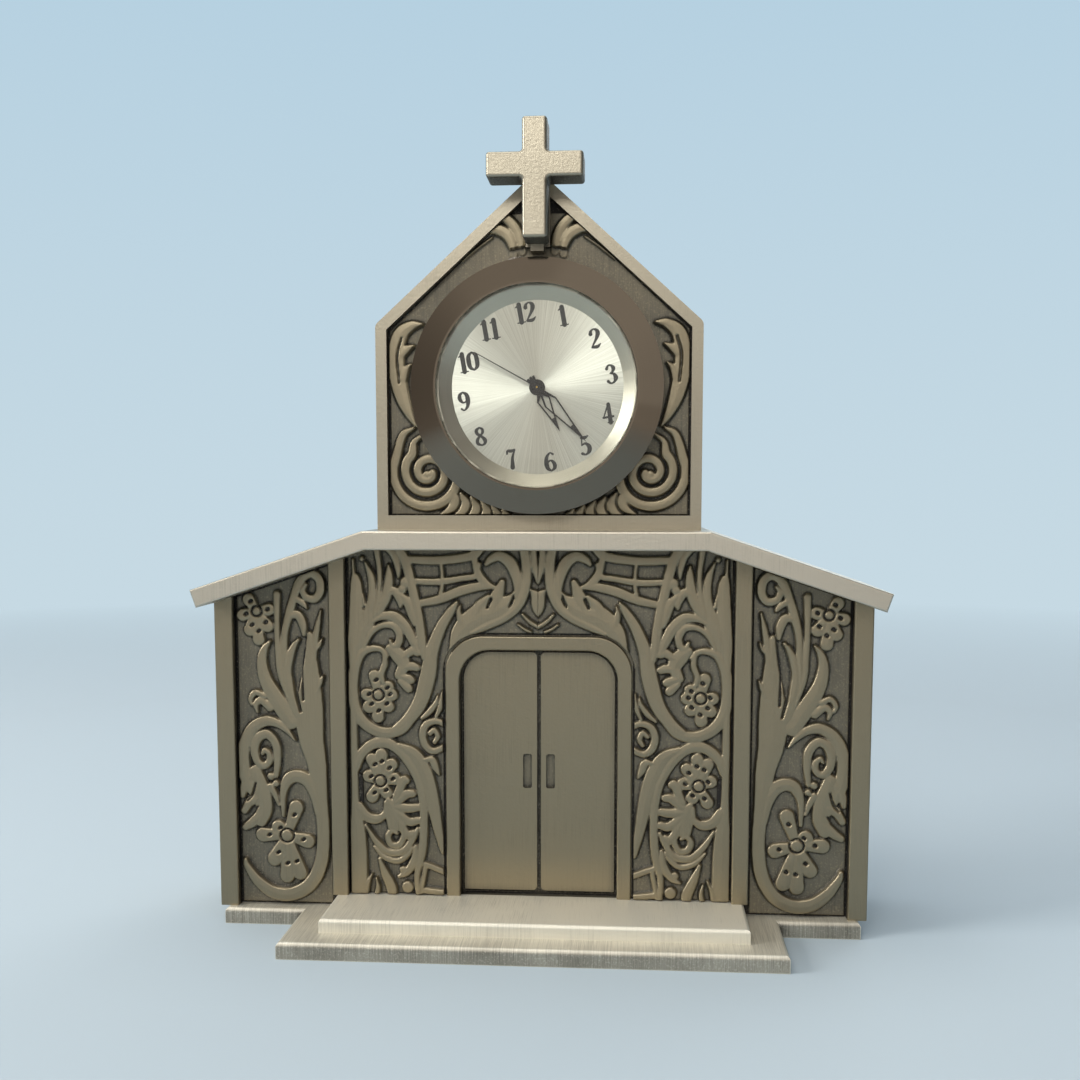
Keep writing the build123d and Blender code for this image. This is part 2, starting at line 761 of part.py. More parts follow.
def gear(teeth, module, y0, y1, bore, middle=(0, 0), aim=0, gap_at_aim=False):
    """A spur wheel or pinion with straight-sided teeth. A tooth, or a gap, points along aim."""
    pitch_radius = teeth * module / 2
    root = pitch_radius - dedendum_share * module
    tip = pitch_radius + addendum_share * module
    pitch = 2 * pi / teeth
    shift = pitch / 2 if gap_at_aim else 0
    points = []
    for i in range(teeth):
        at = radians(aim) + shift + i * pitch
        rise = ((root, -tooth_root_share), (tip, -tooth_tip_share))
        fall = ((tip, tooth_tip_share), (root, tooth_root_share))
        for radius, lead in rise + fall:
            points.append((radius * cos(at + lead * pitch), radius * sin(at + lead * pitch)))
    x, z = middle
    wheel = slab(outline(*points), y0, y1)
    if bore > 0:
        wheel -= rod(bore, y0 - cut_over, y1 + cut_over)
    return Pos(x, 0, z) * wheel


def crossings(module, teeth, y0, y1, middle):
    """The round holes that lighten a wheel."""
    pitch_radius = teeth * module / 2
    holes = []
    for i in range(crossing_count):
        at = (i + 1 / 2) * 2 * pi / crossing_count
        x = middle[0] + crossing_place_share * pitch_radius * cos(at)
        z = middle[1] + crossing_place_share * pitch_radius * sin(at)
        holes.append(rod(crossing_radius_share * pitch_radius, y0 - cut_over, y1 + cut_over, x, z))
    return holes


def polar(distance, direction, start=(0, 0)):
    """A point at a distance and a direction in degrees from a start point."""
    return start[0] + distance * cos(radians(direction)), start[1] + distance * sin(radians(direction))


# Train places and levels
third_distance = (third_leaves + centre_teeth) * centre_module / 2
third_module = 2 * third_distance / (third_teeth + fourth_leaves)
fifth_distance = (fifth_leaves + fourth_teeth) * seconds_module / 2
rotor_distance = (rotor_leaves + fifth_teeth) * motor_module / 2
work_distance = (cannon_leaves + minute_work_teeth) * cannon_module / 2
hour_module = 2 * work_distance / (minute_work_leaves + hour_teeth)
third_place = polar(third_distance, third_direction)
fifth_place = polar(fifth_distance, fifth_direction)
rotor_place = polar(rotor_distance, rotor_direction, fifth_place)
work_place = polar(work_distance, minute_work_direction)
centre_level = plate_back + level_gap
third_level = centre_level + pinion_thickness + level_gap / 2
fourth_level = third_level + pinion_thickness + level_gap / 2
fifth_level = fourth_level + pinion_thickness
bridge_level = fifth_level + pinion_thickness
bridge_end = bridge_level + bridge_thickness
board_level = plate_back + cell_thickness - board_thickness
work_floor = plate_front + work_pocket_depth
hour_level = plate_front + level_gap
work_level = hour_level + pinion_thickness
hour_hand_level = dial_front - hand_gap - hand_thickness - hand_thickness
minute_hand_level = hour_hand_level - hand_gap - hand_thickness
second_hand_level = minute_hand_level - hand_gap - hand_thickness
pivot_level = plate_back - wheel_thickness + run_gap
stem_bore = stem_radius + run_gap


def along_stem(radius, v0, v1):
    """A round bar on the stem's line, from one distance out of the middle to another."""
    return post(radius, v0, v1, 0, stem_middle_depth)


def make_bezel():
    """The polished ring: a low cone outside, a bore for the glass and a skirt that snaps in the case."""
    bore = glass_radius + run_gap
    skirt_end = bezel_flange + bezel_skirt
    return turned([
        (bore, 0),
        (bore + bezel_crest, 0),
        (bezel_radius, bezel_flange - bezel_rim),
        (bezel_radius, bezel_flange),
        (bore + bezel_skirt_wall, bezel_flange),
        (bore + bezel_skirt_wall, skirt_end),
        (bore, skirt_end),
    ])


def make_glass():
    """The flat crystal, with a small bevel round its front."""
    return turned([
        (0, glass_front),
        (glass_radius - glass_chamfer, glass_front),
        (glass_radius, glass_front + glass_chamfer),
        (glass_radius, glass_back),
        (0, glass_back),
    ])


def make_reflector():
    """The mirror-bright cone between glass and dial."""
    return turned([
        (glass_radius - glass_chamfer, glass_back),
        (glass_radius, glass_back),
        (glass_radius, dial_front),
        (dial_visible_radius, dial_front),
    ])


def make_case():
    """The case: a tube with a rebate for the bezel's skirt, a groove for the grip ring and a stem hole."""
    rebate = glass_radius + run_gap + bezel_skirt_wall + seat_gap
    groove_end = case_end - grip_from_back
    groove_start = groove_end - grip_length
    groove = case_radius - grip_groove
    back_bore = case_bore + case_back_step
    case = turned([
        (rebate, case_front),
        (case_radius, case_front),
        (case_radius, groove_start),
        (groove, groove_start),
        (groove, groove_end),
        (case_radius, groove_end),
        (case_radius, case_end),
        (back_bore, case_end),
        (back_bore, case_end - case_back_thickness),
        (case_bore, case_end - case_back_thickness),
        (case_bore, plate_front),
        (rebate, plate_front),
    ])
    return case - along_stem(stem_bore, case_bore - cut_over, case_radius + cut_over)


def make_case_back():
    """The snap-in back, with a notch for prising it off."""
    radius = case_bore + case_back_step - seat_gap
    back = rod(radius, case_end - case_back_thickness, case_end)
    half = pry_notch_width / 2
    notch_top = pry_notch_depth - radius
    notch_front = case_end - pry_notch_depth
    return back - box(-half, half, notch_front, case_end + cut_over, -radius - cut_over, notch_top)


def make_grip_ring():
    """The ribbed plastic ring that holds the insert in the tower's bore."""
    end = case_end - grip_from_back - run_gap
    start = end - grip_length + 2 * run_gap
    inner = case_radius - grip_groove + run_gap
    outer = inner + grip_thickness
    grip = rod(outer, start, end)
    rib = box(-rib_width / 2, rib_width / 2, start, end, inner, outer + rib_height)
    for i in range(rib_count):
        grip += Rot(0, i * 360 / rib_count, 0) * rib
    grip -= rod(inner, start - cut_over, end + cut_over)
    return grip & rod(outer + rib_height, start, end)


def make_holder():
    """The plastic ring between case and movement."""
    outer = case_bore - run_gap
    end = case_end - case_back_thickness - holder_back_gap
    holder = ring(outer - holder_wall, outer, plate_front, end)
    return holder - along_stem(stem_bore, outer - holder_wall - cut_over, outer + cut_over)


def make_dial():
    """The dial disc."""
    return ring(dial_hole_radius, dial_radius, dial_front, plate_front)


def make_mainplate():
    """The plate that carries the train, with a pocket for the motion work and a channel for the stem."""
    plate = rod(plate_radius, plate_front, plate_back)
    hour_tip = hour_module * (hour_teeth / 2 + 1) + level_gap
    work_tip = cannon_module * (minute_work_teeth / 2 + 1) + level_gap
    plate -= rod(hour_tip, plate_front - cut_over, work_floor)
    plate -= rod(work_tip, plate_front - cut_over, work_floor, *work_place)
    plate += rod(post_radius, plate_front + level_gap, work_floor + seat_gap, *work_place)
    plate -= rod(cannon_radius + run_gap, plate_front, plate_back + cut_over)
    plate -= along_stem(stem_bore, stem_inner_end - run_gap, plate_radius + cut_over)
    for place in (third_place, fifth_place, rotor_place):
        plate -= rod(arbor_radius + run_gap, plate_back - wheel_thickness, plate_back + cut_over, *place)
    lever_x, lever_z = lever_pivot
    pivot_hole = lever_pivot_radius + run_gap
    plate -= rod(pivot_hole, plate_back - lever_thickness, plate_back + cut_over, lever_x, lever_z)
    window = 2 * (lever_pin_radius + run_gap)
    reach = setting_travel / 2 + window
    pin_x = lever_x - lever_arm
    front = stem_middle_depth - stem_bore
    back = plate_back + cut_over
    plate -= box(pin_x - window, pin_x + window, front, back, lever_z - reach, lever_z + reach)
    for place in clip_ends:
        plate += rod(small_screw_head, plate_back - seat_gap, plate_back + cell_thickness, *place)
    for place in lug_places:
        plate += rod(small_screw_head, plate_back - seat_gap, board_level, *place)
    for place in stator_pads:
        plate += rod(stator_arm / 2 - level_gap, plate_back - seat_gap, stator_level, *place)
    for place in clip_ends + lug_places + bridge_screw_places:
        plate -= rod(small_screw_shank + run_gap, plate_front + level_gap, board_level + cut_over, *place)
    return plate


def make_bridge():
    """The bridge over the train, on three pillars."""
    face = offset(outline(*bridge_screw_places), small_screw_head)
    bridge = slab(face, bridge_level, bridge_end)
    for place in (third_place, fifth_place, rotor_place, (0, 0)):
        bridge -= rod(arbor_radius + run_gap, bridge_level - cut_over, bridge_end + cut_over, *place)
    for place in bridge_screw_places:
        bridge += rod(small_screw_head, plate_back, bridge_level, *place)
        bridge -= rod(small_screw_shank + run_gap, plate_back - cut_over, bridge_end + cut_over, *place)
    return bridge


def make_stator():
    """The motor's iron plate, from the rotor's hole to both ends of the coil's core."""
    x, z = rotor_place
    hole = magnet_radius + stator_hole_gap
    cheek = hole + stator_cheek
    half = coil_length / 2
    end = half + stator_arm
    inner = coil_place - coil_radius - stator_arm
    outer = coil_place + coil_core_width / 2
    low_arm = [(inner, -end), (outer, -end), (outer, -half), (inner, -half)]
    high_arm = [(arm_x, -arm_z) for arm_x, arm_z in reversed(low_arm)]
    low_cheek = [(x - cheek, z - cheek), (x + cheek, z - cheek)]
    high_cheek = [(x + cheek, z + cheek), (x - cheek, z + cheek)]
    face = outline(*low_cheek, *low_arm, (x + cheek + stator_arm, z), *high_arm, *high_cheek)
    stator_end = stator_level + stator_thickness
    stator = slab(face, stator_level, stator_end)
    return stator - rod(hole, stator_level - cut_over, stator_end + cut_over, x, z)


def make_coil():
    """The coil: a flat core that lies on the stator, two flanges and the winding between them."""
    half = coil_length / 2
    coil = post(coil_radius, coil_flange - half, half - coil_flange, coil_place, coil_level)
    middle = Pos(coil_place, coil_level, 0)
    coil += middle * Box(coil_core_width, coil_core_thickness, 2 * (half + stator_arm))
    flange = Box(2 * coil_radius, 2 * coil_radius, coil_flange)
    for side in (-1, 1):
        coil += middle * Pos(0, 0, side * (half - coil_flange / 2)) * flange
    return coil


def make_cell():
    """The button cell: a can with a smaller cap to the front."""
    x, z = cell_middle
    cap = rod(cell_cap_radius, plate_back, plate_back + cell_cap_height, x, z)
    return cap + rod(cell_radius, plate_back + cell_cap_height, plate_back + cell_thickness, x, z)


def make_clip():
    """The spring strip that presses on the cell, held by a screw at each end."""
    level = plate_back + cell_thickness
    z = -cell_place
    left, right = clip_ends
    over = small_screw_head + level_gap
    low, high = z - clip_width / 2, z + clip_width / 2
    strip = box(left[0] - over, right[0] + over, level, level + clip_thickness, low, high)
    for place in clip_ends:
        strip -= rod(small_screw_shank + run_gap, level - cut_over, level + clip_thickness + cut_over, *place)
    return strip


def make_board():
    """The circuit board, a crescent round the cell and over the coil side."""
    board = rod(plate_radius - level_gap, board_level, board_level + board_thickness)
    x, z = cell_middle
    board_end = board_level + board_thickness
    board -= rod(cell_radius + level_gap, board_level - cut_over, board_end + cut_over, x, z)
    low = z + cell_radius / 2
    far = plate_radius + cut_over
    board -= box(-far, far, board_level - cut_over, board_end + cut_over, -far, low)
    for place in bridge_screw_places:
        board -= rod(small_screw_head + board_gap, board_level - cut_over, board_level + cut_over, *place)
    for place in lug_places:
        board -= rod(small_screw_shank + run_gap, board_level - cut_over, board_level + cut_over, *place)
    return board


def small_screw(place, seat, tip):
    """A movement screw, with its head on a seat and its tip towards the dial."""
    head = rod(small_screw_head - run_gap, seat, seat + small_screw_head_height, *place)
    return head + rod(small_screw_shank, tip, seat, *place)


def make_movement_screws():
    """All the movement's screws."""
    tip = plate_front + 2 * level_gap
    screws = [small_screw(p, bridge_level + bridge_thickness, tip) for p in bridge_screw_places]
    screws += [small_screw(p, plate_back + cell_thickness + clip_thickness, tip) for p in clip_ends]
    screws += [small_screw(p, board_level + board_thickness, tip) for p in lug_places]
    return screws


# Movement places
cell_middle = (0, -cell_place)
stator_level = centre_level + wheel_thickness + level_gap
coil_level = stator_level + stator_thickness + coil_core_thickness / 2
clip_ends = [(side * (cell_radius + small_screw_head + level_gap), -cell_place) for side in (-1, 1)]
stator_pads = [(coil_place - coil_radius, side * (coil_length + stator_arm) / 2) for side in (-1, 1)]
third_reach = third_distance + third_module * (third_teeth / 2 + 1)
bridge_screw_places = [
    polar(third_reach + small_screw_head + level_gap, third_direction),
    polar(bridge_side_reach, bridge_side_direction),
    polar(bridge_top_reach, bridge_top_direction),
]
lug_reach = plate_radius - small_screw_head - 3 * level_gap
lug_places = [polar(lug_reach, direction) for direction in (lug_direction, 180 - lug_direction)]
lever_pivot = (groove_radius + groove_gap + lever_pin_radius + lever_arm, groove_place + setting_travel / 2)


def make_setting_lever():
    """The lever whose pin sits in the stem's groove."""
    x, z = lever_pivot
    pin_x = x - lever_arm
    swing = degrees(asin(setting_travel / 2 / lever_arm))
    half = lever_width / 2
    level = plate_back + run_gap
    arm = box(pin_x - lever_pin_radius, x + half, level, level + lever_thickness, z - half, z + half)
    pin = rod(lever_pin_radius, stem_middle_depth - stem_radius, level, pin_x, z)
    pivot = rod(lever_pivot_radius, plate_back - lever_thickness + run_gap, level, x, z)
    lever = arm + pin + pivot
    return Pos(x, 0, z) * Rot(0, -swing, 0) * Pos(-x, 0, -z) * lever


def make_stem():
    """The stem, with the groove for the setting lever."""
    tip = case_radius + crown_from_case + crown_bore_depth - run_gap
    stem = along_stem(stem_radius, stem_inner_end, tip)
    half = groove_length / 2
    cut = along_stem(stem_radius + cut_over, groove_place - half, groove_place + half)
    return stem - (cut - along_stem(groove_radius, stem_inner_end, tip))


def make_crown():
    """The ribbed crown, with the blind bore that takes the stem."""
    inner = case_radius + crown_from_case
    outer = inner + crown_length
    crown = along_stem(crown_radius, inner, outer)
    for i in range(crown_ribs):
        at = i * 2 * pi / crown_ribs
        x = crown_radius * cos(at)
        y = stem_middle_depth + crown_radius * sin(at)
        crown -= post(crown_rib_depth, inner - cut_over, outer + cut_over, x, y)
    return crown - along_stem(stem_bore, inner - cut_over, inner + crown_bore_depth)


def skeleton_hand(length, width, hub, bore, y0):
    """An open hand: a hub, two rails that meet in a solid tip, and a short forked tail."""
    shoulder = hand_shoulder_share * length
    tip_start = hand_tip_share * length
    half = width / 2
    rail = hand_rail
    narrow = max(half * (length - tip_start) / (length - shoulder) - rail, rail / 2)
    y1 = y0 + hand_thickness
    blade = outline((0, 0), (half, shoulder), (0, length), (-half, shoulder))
    gap_half = [(half - rail, shoulder + rail / 2), (narrow, tip_start)]
    window = outline((0, hub), *gap_half, *[(-x, z) for x, z in reversed(gap_half)])
    tail = outline(*mirrored([(2 * rail, -hand_tail), (rail, 0)]))
    notch = outline((0, -hub), (rail, -hand_tail - cut_over), (-rail, -hand_tail - cut_over))
    hand = slab(blade, y0, y1) - slab(window, y0 - cut_over, y1 + cut_over)
    hand += slab(tail, y0, y1) - slab(notch, y0 - cut_over, y1 + cut_over)
    hand += rod(hub, y0, y1)
    return hand - rod(bore, y0 - cut_over, y1 + cut_over)


minute_angle = shown_minutes * 6
hour_angle = shown_hour * 30 + shown_minutes / 2
second_angle = shown_seconds * 6


def crossed_gear(teeth, module, y0, place, aim, gap_at_aim=False, bore=0):
    """A train wheel of the usual thickness, with its lightening holes."""
    wheel = gear(teeth, module, y0, y0 + wheel_thickness, bore, place, aim, gap_at_aim)
    for hole in crossings(module, teeth, y0, y0 + wheel_thickness, place):
        wheel -= hole
    return wheel


def arbor(place, start):
    """A thin arbor from a start depth to the back of the train bridge."""
    return rod(arbor_radius, start, bridge_end, *place)


def make_hour_wheel():
    """The hour wheel with the pipe that carries the hour hand."""
    bore = cannon_radius + run_gap
    end = hour_level + wheel_thickness
    wheel = gear(hour_teeth, hour_module, hour_level, end, bore, (0, 0), minute_work_direction, True)
    return wheel + ring(bore, pipe_radius, hour_hand_level, end)


def make_hour_hand():
    """The hour hand, pressed on its pipe."""
    hand = skeleton_hand(hour_hand_length, hour_hand_width, hour_hub_radius, pipe_radius, hour_hand_level)
    return Rot(0, hour_angle, 0) * hand


def make_centre_wheel():
    """The centre wheel and the cannon tube, which has the cannon pinion's teeth and the minute hand."""
    bore = arbor_radius + run_gap
    tube = ring(bore, cannon_radius, minute_hand_level, centre_level + wheel_thickness)
    wheel = crossed_gear(centre_teeth, centre_module, centre_level, (0, 0), third_direction, bore=bore)
    leaves_end = work_floor - run_gap
    leaves = gear(cannon_leaves, cannon_module, work_level, leaves_end, bore, (0, 0), minute_work_direction)
    return tube + wheel + leaves


def make_minute_hand():
    """The minute hand, pressed on the cannon tube."""
    size = (minute_hand_length, minute_hand_width, minute_hub_radius)
    return Rot(0, minute_angle, 0) * skeleton_hand(*size, cannon_radius, minute_hand_level)


def make_minute_wheel():
    """The wheel of the motion work between cannon pinion and hour wheel."""
    back_aim = minute_work_direction + 180
    bore = post_radius + run_gap
    end = work_level + wheel_thickness
    wheel = gear(minute_work_teeth, cannon_module, work_level, end, bore, work_place, back_aim, True)
    return wheel + gear(minute_work_leaves, hour_module, hour_level, work_level, bore, work_place, back_aim)


def make_fourth_wheel():
    """The fourth wheel on the long arbor that carries the second hand."""
    wheel = crossed_gear(fourth_teeth, seconds_module, fourth_level, (0, 0), fifth_direction)
    leaves = gear(fourth_leaves, third_module, third_level, fourth_level, 0, (0, 0), third_direction)
    return arbor((0, 0), second_hand_level) + wheel + leaves


def make_second_hand():
    """The second hand: a needle with a tail and a hub."""
    half = second_hand_width / 2
    y0 = second_hand_level
    y1 = y0 + hand_thickness
    needle = outline(*mirrored([(half, -second_hand_tail), (half / 2, second_hand_length)]))
    hand = slab(needle, y0, y1) + rod(second_hub_radius, y0, y1)
    hand -= rod(arbor_radius, y0 - cut_over, y1 + cut_over)
    return Rot(0, second_angle, 0) * hand


def make_third_wheel():
    """The third wheel, with its pinion on the centre wheel."""
    back_aim = third_direction + 180
    wheel = crossed_gear(third_teeth, third_module, third_level, third_place, back_aim, True)
    start = centre_level - run_gap
    leaves = gear(third_leaves, centre_module, start, third_level, 0, third_place, back_aim, True)
    return arbor(third_place, pivot_level) + wheel + leaves


def make_fifth_wheel():
    """The fifth wheel, with its pinion on the fourth wheel."""
    end = fifth_level + wheel_thickness
    wheel = gear(fifth_teeth, motor_module, fifth_level, end, 0, fifth_place, rotor_direction)
    start = fourth_level - run_gap
    back_aim = fifth_direction + 180
    leaves = gear(fifth_leaves, seconds_module, start, fifth_level, 0, fifth_place, back_aim, True)
    return arbor(fifth_place, pivot_level) + wheel + leaves


def make_rotor():
    """The motor's magnet on its arbor, with the pinion that drives the fifth wheel."""
    start = stator_level - level_gap / 2
    magnet = rod(magnet_radius, start, start + magnet_thickness, *rotor_place)
    leaves_start = fifth_level - run_gap
    leaves_end = fifth_level + wheel_thickness + run_gap
    back_aim = rotor_direction + 180
    leaves = gear(rotor_leaves, motor_module, leaves_start, leaves_end, 0, rotor_place, back_aim, True)
    return arbor(rotor_place, pivot_level) + magnet + leaves


os.makedirs("parts", exist_ok=True)

# Church
save("base_plate", make_base_plate())
save("upper_step", make_step())
save("nave_casting", make_nave())
save("nave_back_cover", make_nave_cover())
save("roof_plate", make_roof())
save("tower_casting", make_tower())
save("tower_back_cover", make_tower_cover())
save("cross", make_cross())
save("cover_screws", *[place * sunk_screw(screw_length) for place in nave_cover_places + tower_cover_places])
save("base_screws", *[place * sunk_screw(screw_length) for place in base_screw_places])
save("tower_screws", *make_tower_screws())

# Clock insert, made upright about the Y axis and then put in its place
insert_nodes = {
    "bezel": make_bezel(),
    "glass": make_glass(),
    "reflector_ring": make_reflector(),
    "dial": make_dial(),
    "insert_case": make_case(),
    "insert_case_back": make_case_back(),
    "grip_ring": make_grip_ring(),
    "movement_holder": make_holder(),
    "mainplate": make_mainplate(),
    "train_bridge": make_bridge(),
    "stator": make_stator(),
    "coil": make_coil(),
    "cell": make_cell(),
    "cell_clip": make_clip(),
    "circuit_board": make_board(),
    "setting_lever": make_setting_lever(),
    "stem": make_stem(),
    "crown": make_crown(),
    "hour_wheel": make_hour_wheel(),
    "hour_hand": make_hour_hand(),
    "centre_wheel": make_centre_wheel(),
    "minute_hand": make_minute_hand(),
    "minute_wheel": make_minute_wheel(),
    "fourth_wheel": make_fourth_wheel(),
    "second_hand": make_second_hand(),
    "third_wheel": make_third_wheel(),
    "fifth_wheel": make_fifth_wheel(),
    "rotor": make_rotor(),
}
for name, shape in insert_nodes.items():
    save(name, insert_place * shape)
save("movement_screws", *[insert_place * screw for screw in make_movement_screws()])

# Where the train's arbors and the lever's pivot stand in the tower
arbor_places = {
    "third": third_place,
    "fifth": fifth_place,
    "rotor": rotor_place,
    "work": work_place,
}
for label, (x, z) in arbor_places.items():
    print(label, (insert_place * Pos(x, 0, z)).position)
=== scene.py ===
"""The looks of a cast steeple clock, laid out as an add-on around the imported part."""

from math import ceil, cos, hypot, pi, radians, sin, tan

import bpy
import numpy as np
from mathutils import Matrix, Vector


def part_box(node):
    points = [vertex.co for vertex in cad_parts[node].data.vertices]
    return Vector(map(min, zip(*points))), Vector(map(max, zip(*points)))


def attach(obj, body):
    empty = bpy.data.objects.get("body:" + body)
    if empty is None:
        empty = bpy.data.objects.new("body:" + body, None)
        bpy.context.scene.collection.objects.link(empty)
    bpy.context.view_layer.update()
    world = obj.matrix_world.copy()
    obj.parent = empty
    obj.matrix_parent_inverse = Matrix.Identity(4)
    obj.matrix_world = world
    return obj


bl_info = {
    "name": "Steeple clock looks",
    "version": (1, 0, 0),
    "blender": (4, 5, 0),
    "location": "View3D > Sidebar > Steeple clock",
    "description": "Carves the front, numbers the dial and finishes every surface of the clock",
    "category": "Object",
}

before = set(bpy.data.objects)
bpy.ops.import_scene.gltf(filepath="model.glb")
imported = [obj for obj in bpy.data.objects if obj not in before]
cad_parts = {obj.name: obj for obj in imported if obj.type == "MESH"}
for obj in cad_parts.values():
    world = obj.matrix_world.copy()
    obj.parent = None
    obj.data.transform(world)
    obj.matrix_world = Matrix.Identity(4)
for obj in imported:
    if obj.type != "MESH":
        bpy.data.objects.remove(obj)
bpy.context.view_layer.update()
MM = 0.001


def box_mm(node):
    """A CAD node's lowest and highest corner in millimetres."""
    low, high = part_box(node)
    return low / MM, high / MM


# Places read from the frame, in millimetres
nave_low, nave_high = box_mm("nave_casting")
bezel_low, bezel_high = box_mm("bezel")
crown_low, crown_high = box_mm("crown")
dial_front = box_mm("dial")[0].y
facade = nave_low.y
clock_z = (bezel_low.z + bezel_high.z) / 2
step_top = box_mm("upper_step")[1].z

# The clock insert leans to the left by this much
insert_lean = radians(10)

# Panels of the front in millimetres: where their borders stand, and how deep behind the facade the
# carving's ground and its buried back lie
strip_edge = 34.2
pilaster_outer = 23.33
pilaster_inner = 21.48
nave_foot = 1.8
wing_top = 41.0
tower_strip_edge = 16.5
nave_ground = 1.12
nave_buried = 1.42
tower_ground = 1.42
tower_buried = 1.66
carving_rise = 0.66

# In millimetres: how wide the gap round the carving is, which shows as a dark line, how far behind the facade
# a casting is painted near black as shade in its panels, and at which depth of the frame, inside the wall,
# that painted shade ends
dark_line = 0.22
nave_dark_from = 0.68
tower_dark_from = 1.45
panel_wall_middle = 0.75

# Lines that end the carving, in millimetres and radians
roof_flat_half = 18.17
under_roof = 42.57
roof_fall = tan(radians(18.7))
door_half = 10.4
door_top = 32.9
door_corner = 4.2
gable_foot = (-16.5, 66.3)
gable_head = (-3.3, 78.5)
gable_slope = (gable_head[1] - gable_foot[1]) / (gable_head[0] - gable_foot[0])
rail_top = 46.2
bore_edge = 12.95
crown_path_radius = 15.1
crown_path_from = radians(-46)
crown_path_to = radians(6)
crown_path_height_share = 0.12

# How a leaf is cut, in millimetres
pitch = 0.1
curve_step = 0.09
thinnest_half = 0.04
leaf_edge = 0.18
cut_line = 0.2

# By kind of stroke, its height as a share of the carving's rise, and how much of it is a round crown
rise_shares = {
    "leaf": (1.0, 0.14),
    "bar": (0.9, 0.08),
    "lobe": (1.0, 0.14),
    "vein": (0.4, 0.2),
    "petal": (0.92, 0.14),
}

# How far the smoothed edge of a stroke and of a cut starts before its rim, as shares of leaf_edge
rim_share = 0.35
cut_rim_share = 0.5

# How much of the height a cut takes away, and how much a line that parts two leaves leaves standing
cut_share = 0.8
parted_share = 0.25

# A flower: where a petal starts in millimetres, its half widths as shares of the flower's, how far
# along it is middling wide, its drilled eye, and its button's width
petal_start = 0.3
petal_width_shares = (0.9, 1.3, 1.55)
petal_middle_share = 0.6
eye_place_share = 0.62
eye_cut = ((0, 0, 0.14), (0.15, 0.1, 0.17))
eye_cut_share = 0.9
button_share = 1.2

# How worn the carving is where it is level, how much more on its top, and how much more where it
# stands out from what lies round it, over that many places of its grid
level_wear = 0.42
top_wear = 0.38
outstanding_wear = 0.85
outstanding_reach = 3

# The numerals: widths of a digit in a pair and alone as shares of the height, how much further out
# each next stroke of a digit is printed, so that no two lie in one plane, and points round a stroke's end
paired_width_share = 0.52
single_width_share = 0.6
layer_share = 0.25
round_end_points = 6


# Carving of the left half, in millimetres from the middle and from the floor. A stroke is a row of
# (across, up, half width) along the middle of a leaf, stem or cut. A flower is its middle, button
# and petal width, and the tips of its petals.

